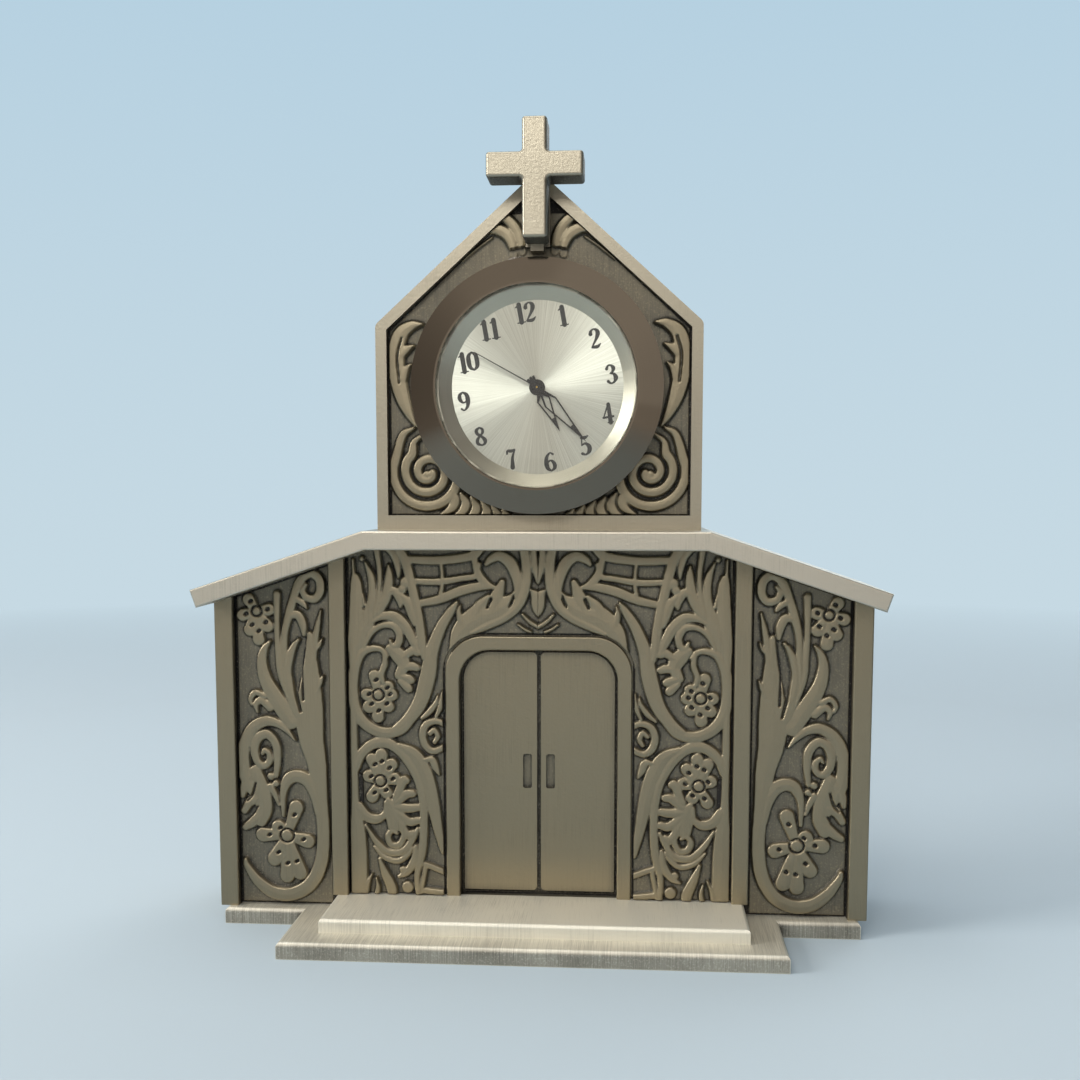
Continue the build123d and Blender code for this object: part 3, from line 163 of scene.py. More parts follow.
# The narrow panel between the wall strip and the pilaster
WING_STROKES = (
    ("leaf", ((-25.6, 33, 0.34), (-25.5, 30, 0.81), (-25.6, 27, 1.28), (-25.8, 24, 1.69),
      (-25.6, 21, 1.49), (-25, 18, 1.15), (-24.65, 14, 0.88), (-24.4, 10, 0.81), (-24.8, 6.6, 0.84),
      (-26.1, 4.2, 0.84), (-28.2, 3.05, 0.84), (-30.3, 3.2, 0.81), (-32.1, 4.5, 0.68),
      (-33.3, 6.2, 0.47), (-33.5, 6.9, 0.34))),
    ("leaf", ((-29, 12.2, 0.27), (-28.95, 14.8, 0.47), (-28.3, 16.4, 0.74), (-27.2, 16.75, 0.81),
      (-26.1, 16.2, 0.81), (-25.3, 14.6, 0.68), (-24.9, 12.5, 0.54))),
    ("leaf", ((-27.9, 23, 0.94), (-29.3, 25.2, 1.01), (-30.7, 27.7, 0.84), (-31.1, 29.8, 0.65),
      (-30.8, 31.2, 0.47), (-30.15, 32.1, 0.22))),
    ("leaf", ((-28.2, 25.6, 0.24), (-29, 28.5, 0.45), (-29.25, 31.5, 0.41), (-29.3, 34.5, 0.41),
      (-29.25, 37.4, 0.49))),
    ("leaf", ((-27, 24.2, 0.94), (-27.9, 26.6, 0.74), (-28.2, 28.6, 0.57), (-27.9, 30.4, 0.54),
      (-27.3, 31.8, 0.38), (-26.9, 32.3, 0.27))),
    ("cut", ((-26.75, 24.2, 0.1), (-27.25, 26.5, 0.16), (-27.35, 29, 0.18), (-26.7, 31.3, 0.12))),
    ("cut", ((-26.45, 25.5, 0.08), (-26.55, 28.8, 0.1))),
    ("leaf", ((-28.7, 27.5, 0.27), (-28.55, 30.5, 0.43), (-28.4, 33.2, 0.47), (-27.9, 35.2, 0.57),
      (-27.3, 37.2, 0.54), (-26.6, 38.9, 0.57), (-25.5, 39.75, 0.57), (-24.5, 39.2, 0.57),
      (-24.3, 37.9, 0.57), (-24.9, 36.95, 0.54), (-25.9, 37.1, 0.49), (-26.3, 37.9, 0.41),
      (-25.95, 38.5, 0.3))),
    ("leaf", ((-27.8, 35, 0.41), (-26.9, 35.1, 0.57), (-26.35, 34, 0.54), (-26.25, 32.9, 0.3))),
    ("cut", ((-27.55, 34, 0.2), (-27.35, 32.4, 0.2))),
    ("leaf", ((-27.4, 37.2, 0.41), (-26.3, 36.4, 0.41), (-25.9, 35.9, 0.22))),
    ("leaf", ((-25.3, 28.5, 0.41), (-25.1, 31.5, 0.49), (-24.7, 33.8, 0.41), (-24.3, 35.6, 0.19))),
    ("leaf", ((-24.9, 26.4, 0.19), (-24.5, 27.4, 0.34), (-24.2, 28.2, 0.19))),
    ("leaf", ((-24.9, 31.1, 0.16), (-24.5, 31.7, 0.27), (-24.2, 32.4, 0.16))),
    ("leaf", ((-30.3, 24.6, 0.54), (-31.3, 25.4, 0.49), (-31.9, 24.9, 0.41), (-31.75, 24.1, 0.24))),
    ("leaf", ((-30.9, 25.9, 0.41), (-31.9, 26.3, 0.41), (-32.5, 25.6, 0.38), (-32.4, 24.9, 0.24))),
    ("leaf", ((-27.5, 20.9, 0.19), (-28.4, 22, 0.41), (-29.6, 22.85, 0.57), (-31, 23, 0.68),
      (-32.5, 22, 0.74), (-33.4, 20, 0.78), (-33.5, 17.8, 0.84), (-33.1, 16.2, 0.81),
      (-32.3, 15, 0.81))),
    ("leaf", ((-32.9, 16.6, 0.74), (-33.45, 15.4, 0.57), (-33.65, 14.4, 0.35))),
    ("leaf", ((-32.1, 17.2, 0.81), (-31.5, 15, 1.08), (-31.2, 13, 1.01), (-31.6, 11.6, 0.81))),
    ("leaf", ((-31.9, 14.2, 0.61), (-32.9, 13.6, 0.57), (-33.5, 12.7, 0.49))),
    ("leaf", ((-31.6, 12.2, 0.68), (-32.6, 11.3, 0.62), (-33.4, 10.8, 0.49))),
    ("cut", ((-32.1, 15.9, 0.07), (-32.5, 14.6, 0.1), (-33.1, 13.9, 0.09))),
    ("cut", ((-31.9, 13.2, 0.07), (-32.5, 12.5, 0.1), (-33.2, 12, 0.09))),
    ("leaf", ((-29.75, 16.8, 0.38), (-29.55, 18.6, 0.49), (-29.7, 20.4, 0.57), (-30.6, 21.5, 0.59),
      (-31.6, 21.2, 0.59), (-32.15, 20, 0.57), (-31.95, 18.6, 0.54), (-31.2, 17.9, 0.49),
      (-30.5, 18.4, 0.46), (-30.5, 19.3, 0.41), (-31, 19.7, 0.35), (-31.25, 19.3, 0.27))),
    ("leaf", ((-30.35, 16.7, 0.49),)),
    ("leaf", ((-29.75, 15.9, 0.46),)),
    ("leaf", ((-30.4, 15.6, 0.41), (-29.9, 14.6, 0.41), (-29.5, 13.4, 0.22))),
)
WING_FLOWERS = (
    ((-31.6, 35.5, 0.45, 0.5), ((-32.8, 37.2), (-29.75, 35.75), (-33.7, 34.9), (-32.6, 32.9),
      (-31.4, 31.8), (-30.1, 33.4))),
    ((-28.6, 9.9, 0.62, 0.58), ((-27.3, 13.7), (-30, 11.2), (-32, 9.9), (-30.4, 6.6), (-28.7, 4.6),
      (-27, 5), (-25.7, 9.1))),
)
# The wide panel between the pilaster and the door
NAVE_STROKES = (
    ("leaf", ((-20.4, 2.8, 1.15), (-20.45, 10, 1.0), (-20.7, 14, 0.55), (-20.75, 20, 0.5),
      (-20.75, 29, 0.5), (-20.5, 32, 0.88), (-20.35, 34.6, 0.88), (-20.25, 38, 0.78),
      (-20.35, 39.3, 0.55))),
    ("leaf", ((-20.5, 39.2, 0.3), (-20.6, 41.3, 0.22))),
    ("leaf", ((-19.6, 41.4, 0.35),)),
    ("leaf", ((-20.2, 31.8, 0.7), (-19.5, 33.6, 1.1), (-18.9, 34.9, 0.9))),
    ("leaf", ((-19.2, 34.6, 0.8), (-18.65, 36.3, 0.6), (-18.46, 38, 0.52), (-18.6, 39.5, 0.47),
      (-19.2, 41, 0.2))),
    ("leaf", ((-19.35, 36.3, 0.28), (-19.5, 37.5, 0.14))),
    ("leaf", ((-18.2, 35.2, 0.54), (-17.75, 37.4, 0.38), (-17.6, 39.8, 0.36), (-17.9, 42.4, 0.42))),
    ("leaf", ((-17.9, 35.4, 0.61), (-17, 37, 0.66), (-16.62, 38.6, 0.62), (-16.55, 39.8, 0.46),
      (-16.6, 40.7, 0.2))),
    ("leaf", ((-17, 42.9, 0.41), (-16, 41.8, 0.46), (-15.55, 40.4, 0.41), (-15.5, 39.4, 0.22))),
    ("leaf", ((-15.9, 43.2, 0.54), (-14.8, 41.4, 0.62), (-14.05, 38.6, 0.62), (-13.3, 35, 0.62),
      (-12.9, 32, 0.57), (-12.75, 30.4, 0.35))),
    ("bar", ((-14.7, 41.35, 0.49), (-11, 41.25, 0.54), (-7.4, 41.75, 0.57), (-6.3, 42.6, 0.54))),
    ("bar", ((-13.9, 38.95, 0.41), (-11, 38.9, 0.46), (-8.4, 39.3, 0.41), (-6.9, 39.6, 0.41),
      (-6.6, 40.8, 0.41))),
    ("bar", ((-13.4, 36.45, 0.46), (-11, 36.95, 0.57), (-8.6, 37.9, 0.62), (-6.4, 38.4, 0.54),
      (-5, 38.3, 0.27))),
    ("bar", ((-10.75, 41.2, 0.27), (-10.6, 38.9, 0.3), (-10.9, 37, 0.32))),
    ("bar", ((-7.1, 42.4, 0.46), (-6.95, 41, 0.43), (-6.5, 39.6, 0.55), (-5.6, 38.6, 0.5),
      (-4.7, 38.35, 0.22))),
    ("leaf", ((-17.6, 36.6, 0.41), (-16.2, 37.9, 0.54), (-15.4, 37, 0.54), (-15.3, 36.1, 0.27))),
    ("leaf", ((-15.2, 37.4, 0.41), (-14.35, 36.4, 0.65), (-13.95, 35.1, 0.57), (-13.75, 34.1, 0.27))),
    ("leaf", ((-15.1, 38.05, 0.57),)),
    ("leaf", ((-14.75, 38.8, 0.68),)),
    ("leaf", ((-9.6, 31.3, 0.41), (-8.6, 33.4, 1.01), (-6.8, 34.9, 1.42), (-4.6, 35.7, 1.49),
      (-2.9, 36.9, 0.74), (-2.3, 38, 0.27))),
    ("leaf", ((-8.3, 34, 0.68), (-8.75, 35.4, 0.38), (-8.6, 36.3, 0.16))),
    ("leaf", ((-7, 34.8, 0.94), (-6.5, 36.2, 0.68), (-5.5, 37.2, 0.41))),
    ("leaf", ((-5, 35.8, 1.08), (-4.5, 37.4, 0.78), (-3.95, 38.9, 0.41))),
    ("cut", ((-5.2, 37, 0.14), (-5.6, 36.1, 0.1))),
    ("cut", ((-3.1, 36.2, 0.12), (-2.6, 37.4, 0.12))),
    ("leaf", ((-5.7, 40.9, 0.32), (-5.2, 41.4, 0.5), (-4.2, 41.75, 0.62), (-3.05, 41, 0.74),
      (-2.4, 39.5, 0.66), (-2.3, 38.2, 0.45), (-2.5, 37.2, 0.2))),
    ("leaf", ((-1.6, 42.9, 0.61), (-1.3, 40.8, 0.62), (-1.35, 38.6, 0.62), (-2.1, 36.5, 0.62),
      (-3.6, 35.1, 0.61), (-5.8, 34, 0.54), (-7.4, 33.2, 0.27))),
    ("leaf", ((-0.7, 38, 0.22), (-0.1, 37.2, 0.74), (0.2, 36.2, 0.94), (0.2, 35.3, 0.41))),
    ("leaf", ((-1.7, 35.3, 0.22), (-0.9, 34.5, 0.3), (0.1, 33.9, 0.3))),
    ("leaf", ((-2.2, 34.2, 0.19), (-1.5, 33.7, 0.24), (-0.8, 33.4, 0.22))),
    ("leaf", ((-0.5, 42.6, 0.41), (-0.35, 40.6, 0.46), (0.1, 39, 0.41))),
    ("leaf", ((-16, 22.4, 0.47), (-14.6, 23.4, 0.74), (-13.2, 25.4, 0.89), (-12.3, 28.4, 0.97),
      (-11.8, 31.2, 0.81), (-10.8, 33.8, 0.68), (-9.7, 35.6, 0.54), (-9, 36.6, 0.27))),
    ("leaf", ((-15.6, 20.4, 0.47), (-13.9, 19.4, 0.84), (-12.7, 17.2, 0.97), (-11.9, 14.2, 0.84),
      (-11.3, 11, 0.61), (-10.7, 8.4, 0.41))),
    ("leaf", ((-18.4, 34.4, 0.22), (-17.4, 35, 0.49), (-16, 35, 0.68), (-14.7, 33.8, 0.68),
      (-13.9, 32.2, 0.57), (-13.5, 31.3, 0.32))),
    ("leaf", ((-19.4, 31.6, 0.27), (-18.6, 33.2, 0.41), (-17.4, 34, 0.41), (-16.1, 33.95, 0.49),
      (-15.45, 33, 0.51), (-15.6, 32, 0.49), (-16.2, 31.7, 0.38), (-16.5, 32.3, 0.27))),
    ("leaf", ((-16.6, 31.5, 0.47), (-15.6, 30.7, 0.94), (-15, 29.6, 0.81), (-15.6, 28.4, 0.54))),
    ("leaf", ((-15.4, 30.2, 0.41), (-14.1, 31.15, 0.57), (-13.45, 31, 0.51))),
    ("leaf", ((-15.4, 29.18, 0.41), (-14.15, 29.45, 0.57), (-13.55, 29.3, 0.51))),
    ("leaf", ((-15.4, 28.34, 0.41), (-14.45, 28.05, 0.57), (-14.15, 27.9, 0.51))),
    ("leaf", ((-15.4, 27.74, 0.41), (-14.6, 27.05, 0.57), (-14.45, 26.9, 0.51))),
    ("leaf", ((-17, 30.6, 0.41), (-17.5, 31.3, 0.41), (-18.6, 31.4, 0.46), (-19.8, 30.8, 0.57),
      (-20.6, 29, 0.68), (-20.8, 26.6, 0.7), (-20.4, 24.3, 0.73), (-19.2, 22.7, 0.74),
      (-17.3, 21.9, 0.7), (-15.4, 22.3, 0.68), (-14, 23.7, 0.54))),
    ("leaf", ((-17.2, 30.9, 0.32), (-17.1, 29.8, 0.41), (-17.5, 28.6, 0.41), (-17.3, 27.6, 0.3))),
    ("leaf", ((-20.6, 17.8, 0.54), (-19.8, 19.6, 0.61), (-18.3, 20.7, 0.68), (-16.6, 20.6, 0.68),
      (-15, 19.2, 0.61), (-13.6, 16.8, 0.57), (-13, 14.2, 0.54), (-12.9, 11.4, 0.54),
      (-13.1, 8.4, 0.54), (-13.7, 5.6, 0.41), (-13.6, 3.4, 0.41))),
    ("leaf", ((-20.3, 13.4, 0.68), (-19.4, 12.3, 0.68), (-18.2, 12, 0.61), (-17.3, 12.7, 0.41),
      (-17.2, 13.9, 0.32))),
    ("leaf", ((-16.9, 14.2, 0.41), (-16.2, 12.6, 1.15), (-16.3, 11.2, 0.81))),
    ("leaf", ((-16, 14.48, 0.54), (-15.2, 16.4, 0.59), (-14.85, 16.5, 0.51))),
    ("leaf", ((-16, 13.96, 0.54), (-14.85, 14.9, 0.59), (-14.15, 15, 0.51))),
    ("leaf", ((-16, 13.4, 0.54), (-14.6, 13.3, 0.59), (-13.65, 13.4, 0.51))),
    ("leaf", ((-16, 12.88, 0.54), (-14.6, 11.8, 0.59), (-13.65, 11.9, 0.51))),
    ("leaf", ((-16, 12.35, 0.54), (-14.85, 10.3, 0.59), (-14.15, 10.4, 0.51))),
    ("leaf", ((-15.3, 11.6, 0.41), (-15.15, 10.2, 0.43), (-15.7, 9.1, 0.46), (-16.6, 9.1, 0.46),
      (-17, 10, 0.43), (-16.5, 10.7, 0.38), (-15.95, 10.4, 0.27))),
    ("leaf", ((-19.5, 11.3, 0.22), (-18.4, 9.5, 0.43), (-16.9, 8.2, 0.49), (-15.2, 8.4, 0.49),
      (-14.1, 9.9, 0.43), (-13.6, 11, 0.27))),
    ("leaf", ((-18.6, 8.8, 0.22), (-17.4, 7.6, 0.38), (-15.9, 7.2, 0.41), (-14.8, 7.9, 0.38),
      (-14.2, 8.8, 0.22))),
    ("leaf", ((-18, 7.4, 0.27), (-17.4, 5.8, 0.54), (-16.7, 4.2, 0.68), (-16.5, 3, 0.54))),
    ("leaf", ((-13.8, 9, 0.27), (-14, 7.4, 0.51), (-14.8, 6, 0.51), (-15.8, 5.4, 0.27))),
    ("leaf", ((-15.3, 6.2, 0.49),)),
    ("leaf", ((-14.8, 4.2, 0.74),)),
    ("leaf", ((-19.7, 3, 0.41), (-19.4, 4.4, 0.35), (-18.9, 5.6, 0.16))),
    ("leaf", ((-18.4, 3, 0.41), (-18.2, 4.2, 0.32), (-18.4, 5.2, 0.16))),
    ("bar", ((-12.9, 6.9, 0.38), (-11.8, 6.5, 0.41), (-10.3, 5.9, 0.41))),
    ("bar", ((-13.4, 3.9, 0.41), (-10.3, 3.5, 0.46))),
    ("bar", ((-13.3, 3.6, 0.35), (-12.7, 6.8, 0.35))),
    ("leaf", ((-13, 23.6, 0.27), (-12.1, 24.4, 0.41), (-11.4, 25.4, 0.32), (-11.2, 26.2, 0.14))),
    ("leaf", ((-11.4, 23.8, 0.27), (-10.9, 25, 0.35), (-10.7, 26.6, 0.16))),
    ("leaf", ((-10.3, 22.9, 0.41), (-11.4, 23.3, 0.43), (-12.5, 22.9, 0.49), (-12.95, 21.8, 0.51),
      (-12.6, 20.5, 0.51), (-11.7, 19.9, 0.46), (-10.4, 20.4, 0.41))),
    ("leaf", ((-12.1, 21.9, 0.35), (-11.6, 22.3, 0.35), (-11.25, 21.6, 0.38), (-11.6, 20.9, 0.3))),
    ("leaf", ((-12.9, 18.9, 0.19), (-11.9, 18.9, 0.49), (-11.5, 18, 0.46), (-11.1, 17.2, 0.19))),
)
NAVE_FLOWERS = (
    ((-17.9, 26.2, 0.5, 0.5), ((-18.4, 28.8), (-19.7, 26.2), (-19.3, 24.4), (-18, 23.2),
      (-16.5, 24.5), (-15.9, 26.2), (-16.4, 27.4))),
    ((-17.8, 16.4, 0.52, 0.5), ((-19.6, 17.1), (-18.9, 19.3), (-17.6, 19.9), (-16.2, 18.7),
      (-15.6, 16.7), (-16.9, 14.6), (-19, 14.1))),
)
# The tower's panel
TOWER_STROKES = (
    ("leaf", ((-12.6, 66.9, 0.19), (-13.9, 66.7, 0.61), (-15.1, 65.7, 0.89), (-15.55, 63.6, 0.97),
      (-15.4, 61.2, 1), (-14.8, 58.8, 0.84), (-13.9, 56.8, 0.47), (-13.3, 55.9, 0.19))),
    ("lobe", ((-15, 63.6, 0.54), (-14.4, 64.2, 0.49), (-13.6, 64.6, 0.19))),
    ("lobe", ((-14.9, 61, 0.61), (-14.5, 62, 0.46), (-13.9, 62.6, 0.19))),
    ("cut", ((-14.9, 65.4, 0.06), (-15.4, 63.4, 0.08), (-15.2, 60.6, 0.06))),
    ("leaf", ((-5.3, 76.6, 0.27), (-4.4, 76.8, 0.62), (-3.3, 76.2, 0.68), (-2.75, 75.1, 0.57),
      (-2.7, 74.2, 0.41))),
    ("leaf", ((-4.1, 78.2, 0.22), (-3.4, 77.9, 0.57), (-2.5, 77, 0.62), (-1.95, 75.8, 0.57),
      (-1.75, 74.5, 0.41))),
    ("vein", ((-8.2, 73.6, 0.14), (-6.6, 74.9, 0.19), (-5, 76, 0.16))),
)


# The numerals, drawn on a cell one high: each digit is its strokes, and each stroke a row of
# (across, up, half width)
DIGITS = {
    "0": (
        ((0.3, 0.97, 0.03), (0.12, 0.8, 0.07), (0.08, 0.5, 0.085), (0.12, 0.2, 0.07), (0.3, 0.03, 0.03)),
        ((0.3, 0.97, 0.03), (0.48, 0.8, 0.07), (0.52, 0.5, 0.085), (0.48, 0.2, 0.07), (0.3, 0.03, 0.03)),
    ),
    "1": (
        ((0.3, 0.03, 0.085), (0.3, 0.95, 0.085)),
        ((0.3, 0.92, 0.05), (0.1, 0.82, 0.02)),
        ((0.1, 0.02, 0.022), (0.5, 0.02, 0.022)),
    ),
    "2": (
        ((0.1, 0.74, 0.075), (0.14, 0.88, 0.05), (0.3, 0.97, 0.03), (0.46, 0.86, 0.07),
         (0.47, 0.68, 0.08), (0.33, 0.42, 0.05), (0.08, 0.08, 0.025)),
        ((0.1, 0.06, 0.05), (0.36, 0.05, 0.06), (0.54, 0.18, 0.02)),
    ),
    "3": (
        ((0.1, 0.8, 0.06), (0.2, 0.95, 0.035), (0.34, 0.94, 0.04), (0.45, 0.78, 0.075),
         (0.36, 0.6, 0.04), (0.24, 0.54, 0.025)),
        ((0.24, 0.54, 0.025), (0.42, 0.48, 0.05), (0.5, 0.28, 0.085), (0.38, 0.07, 0.04),
         (0.2, 0.03, 0.035), (0.08, 0.15, 0.06)),
    ),
    "4": (
        ((0.38, 0.0, 0.08), (0.4, 0.95, 0.07)),
        ((0.38, 0.95, 0.03), (0.06, 0.32, 0.025)),
        ((0.04, 0.3, 0.04), (0.56, 0.3, 0.04)),
        ((0.24, 0.02, 0.022), (0.52, 0.02, 0.022)),
    ),
    "5": (
        ((0.16, 0.92, 0.05), (0.34, 0.91, 0.06), (0.5, 0.97, 0.03)),
        ((0.17, 0.92, 0.025), (0.12, 0.54, 0.025)),
        ((0.12, 0.54, 0.03), (0.32, 0.6, 0.045), (0.49, 0.42, 0.08), (0.46, 0.18, 0.075),
         (0.26, 0.03, 0.035), (0.08, 0.1, 0.055)),
    ),
    "6": (
        ((0.5, 0.88, 0.04), (0.36, 0.97, 0.03), (0.16, 0.78, 0.06), (0.09, 0.45, 0.085),
         (0.13, 0.18, 0.07), (0.3, 0.03, 0.03)),
        ((0.3, 0.03, 0.03), (0.46, 0.14, 0.06), (0.51, 0.32, 0.075), (0.42, 0.52, 0.05),
         (0.28, 0.57, 0.03), (0.12, 0.45, 0.04)),
    ),
    "7": (
        ((0.08, 0.78, 0.03), (0.14, 0.93, 0.05), (0.34, 0.9, 0.06), (0.52, 0.95, 0.03)),
        ((0.52, 0.94, 0.03), (0.34, 0.55, 0.05), (0.26, 0.04, 0.085)),
    ),
    "8": (
        ((0.3, 0.97, 0.03), (0.14, 0.84, 0.065), (0.16, 0.66, 0.06), (0.36, 0.48, 0.05),
         (0.5, 0.28, 0.075), (0.46, 0.1, 0.05), (0.3, 0.03, 0.03)),
        ((0.3, 0.97, 0.03), (0.45, 0.86, 0.05), (0.44, 0.68, 0.05), (0.3, 0.55, 0.035),
         (0.12, 0.36, 0.06), (0.1, 0.16, 0.06), (0.3, 0.03, 0.03)),
    ),
    "9": (
        ((0.3, 0.97, 0.03), (0.14, 0.86, 0.06), (0.09, 0.68, 0.075), (0.18, 0.48, 0.05),
         (0.32, 0.43, 0.03), (0.48, 0.55, 0.04)),
        ((0.3, 0.97, 0.03), (0.47, 0.82, 0.07), (0.51, 0.55, 0.085), (0.44, 0.22, 0.06),
         (0.24, 0.03, 0.03), (0.1, 0.12, 0.04)),
    ),
}


def linear(code):
    """An sRGB hex colour as the linear RGBA that a socket takes."""
    shares = [int(code[i : i + 2], 16) / 255 for i in (1, 3, 5)]
    return tuple(c / 12.92 if c <= 0.04045 else ((c + 0.055) / 1.055) ** 2.4 for c in shares) + (1.0,)


def placed(name, data):
    """A new object in the scene."""
    thing = bpy.data.objects.new(name, data)
    bpy.context.scene.collection.objects.link(thing)
    return thing


# Carving

def smooth(t):
    """A step from 0 to 1 with soft ends."""
    t = np.clip(t, 0, 1)
    return t * t * (3 - 2 * t)


def along(points):
    """Points close together along the smooth Catmull-Rom curve through the given ones."""
    rows = np.array(points, float)
    if len(rows) < 2:
        return rows
    padded = np.vstack([2 * rows[0] - rows[1], rows, 2 * rows[-1] - rows[-2]])
    pieces = []
    for a, b, c, d in zip(padded, padded[1:], padded[2:], padded[3:]):
        count = max(2, ceil(hypot(*(c - b)[:2]) / curve_step))
        t = np.linspace(0, 1, count, endpoint=False)[:, None]
        bend = (2 * a - 5 * b + 4 * c - d) * t**2 + (3 * b - a - 3 * c + d) * t**3
        pieces.append((2 * b + (c - a) * t + bend) / 2)
    pieces.append(rows[-1:])
    curve = np.vstack(pieces)
    curve[:, 2] = np.maximum(curve[:, 2], thinnest_half)
    return curve


def volute(middle, radii, turns, start, halves, steps):
    """The points of a scroll that winds inwards, its start in degrees; radii and halves change along it."""
    points = []
    for i in range(steps + 1):
        t = i / steps
        angle = radians(start) + 2 * pi * turns * t
        radius = radii[0] + (radii[1] - radii[0]) * t
        half = halves[0] + (halves[1] - halves[0]) * t
        points.append((middle[0] + radius * cos(angle), middle[1] + radius * sin(angle), half))
    return points


class Panel:
    """One sunk panel: the height of its carving over a grid, from 0 at the ground to 1."""

    def __init__(self, x_from, x_to, z_from, z_to):
        self.x = np.linspace(x_from, x_to, round((x_to - x_from) / pitch) + 1)
        self.z = np.linspace(z_from, z_to, round((z_to - z_from) / pitch) + 1)
        self.lift = np.zeros((len(self.z), len(self.x)))

    def near(self, points, margin):
        """The part of the grid round a stroke, and how far inside the stroke each place lies."""
        curve = along(points)
        reach = curve[:, 2].max() + margin
        i0, i1 = np.searchsorted(self.x, (curve[:, 0].min() - reach, curve[:, 0].max() + reach))
        j0, j1 = np.searchsorted(self.z, (curve[:, 1].min() - reach, curve[:, 1].max() + reach))
        grid_x, grid_z = np.meshgrid(self.x[i0:i1], self.z[j0:j1])
        inside = np.full(grid_x.shape, -margin)
        width = np.full(grid_x.shape, leaf_edge)
        for x, z, half in curve:
            deep = half - np.hypot(grid_x - x, grid_z - z)
            width = np.where(deep > inside, half, width)
            inside = np.maximum(inside, deep)
        return (slice(j0, j1), slice(i0, i1)), inside, width

    def raise_stroke(self, points, kind, parted=False):
        """A leaf with a rounded top, grown together with what it lies on unless a cut line parts them."""
        height, crown = rise_shares[kind]
        where, inside, width = self.near(points, 2 * cut_line)
        under = self.lift[where]
        if parted:
            under = under * (parted_share + (1 - parted_share) * smooth(-inside / cut_line))
        top = 1 - crown + crown * np.sqrt(np.clip(inside / width, 0, 1))
        self.lift[where] = np.maximum(under, height * top * smooth(inside / leaf_edge + rim_share))

    def cut_stroke(self, points, share=cut_share):
        """A groove that takes a share of the height away."""
        where, inside, _ = self.near(points, leaf_edge)
        self.lift[where] *= 1 - share * smooth(inside / leaf_edge + cut_rim_share)

    def flower(self, centre, tips):
        """Round petals about a button, each with a drilled eye."""
        x, z, button, width = centre
        for tip_x, tip_z in tips:
            length = hypot(tip_x - x, tip_z - z)
            across, up = (tip_x - x) / length, (tip_z - z) / length
            end = max(length - width, petal_start + width / 4)
            places = (petal_start, end * petal_middle_share, end)
            rows = zip(places, petal_width_shares)
            self.raise_stroke([(x + across * r, z + up * r, width * w) for r, w in rows], "petal")
        for tip_x, tip_z in tips:
            eye_x, eye_z = x + (tip_x - x) * eye_place_share, z + (tip_z - z) * eye_place_share
            self.cut_stroke([(eye_x + dx, eye_z + dz, half) for dx, dz, half in eye_cut], eye_cut_share)
        self.raise_stroke([(x, z, button * button_share)], "leaf", parted=True)

    def draw(self, strokes, flowers=()):
        for kind, points in strokes:
            if kind == "cut":
                self.cut_stroke(points)
            else:
                self.raise_stroke(points, kind)
        for centre, tips in flowers:
            self.flower(centre, tips)


# Each panel comes with the places of its grid that are kept and, for each column, where it ends at
# the top

def wing_panel():
    panel = Panel(-strip_edge + dark_line, -pilaster_outer - dark_line, nave_foot + dark_line, wing_top)
    panel.draw(WING_STROKES, WING_FLOWERS)
    top = under_roof - (-panel.x - roof_flat_half) * roof_fall - dark_line
    return panel, np.ones_like(panel.lift, bool), top


def nave_panel():
    panel = Panel(-pilaster_inner + dark_line, 0, step_top + dark_line / 2, under_roof - dark_line / 2)
    panel.draw(NAVE_STROKES, NAVE_FLOWERS)
    x, z = np.meshgrid(panel.x, panel.z)
    half, top, corner = door_half + dark_line, door_top + dark_line, door_corner + dark_line
    in_corner = (-x > half - corner) & (z > top - corner)
    rounded = np.hypot(-x - half + corner, z - top + corner) < corner
    in_door = (-x < half) & (z < top) & (~in_corner | rounded)
    return panel, ~in_door, np.full(len(panel.x), under_roof)


def tower_panel():
    panel = Panel(gable_foot[0] + dark_line, 0, rail_top + dark_line / 2, gable_head[1])
    panel.draw(TOWER_STROKES)
    panel.draw(tower_scrolls())
    x, z = np.meshgrid(panel.x, panel.z)
    radius = np.hypot(x, z - clock_z)
    turn = np.arctan2(x, z - clock_z)
    under_crown = (radius < crown_path_radius) & (turn > crown_path_from) & (turn < crown_path_to)
    low = np.minimum(panel.lift, crown_path_height_share)
    panel.lift = np.where(under_crown, low, panel.lift)
    top = gable_foot[1] + (panel.x - gable_foot[0]) * gable_slope - 1.5 * dark_line
    return panel, radius > bore_edge, top


def tower_scrolls():
    """The two bands of the volute in the tower's lower corner, and the row of leaves beside it."""
    outer = volute((-12.1, 50.8), radii=(3.95, 3.25), turns=0.62, start=155, halves=(0.6, 0.62), steps=12)
    inner = volute((-12.1, 50.9), radii=(2.7, 0.5), turns=1.6, start=130, halves=(0.58, 0.52), steps=26)
    strokes = [
        ("leaf", [(-13.7, 55.7, 0.22), (-14.9, 54.9, 0.49)] + outer + [(-8.3, 53.2, 0.41)]),
        ("leaf", [(-12.3, 55.2, 0.19), (-13.6, 54.2, 0.41)] + inner),
        ("leaf", [(-12.2, 50.6, 0.54)]),
    ]
    row_start, row_step, row_count = (-9.6, 49.0), (1.15, -0.42), 6
    row_leaf = ((0, 0, 0.27), (0.5, -1.0, 0.57), (0.1, -2.0, 0.54), (-1.1, -2.7, 0.19))
    for i in range(row_count):
        x, z = row_start[0] + row_step[0] * i, row_start[1] + row_step[1] * i
        strokes.append(("leaf", [(x + dx, z + dz, half) for dx, dz, half in row_leaf]))
    return strokes


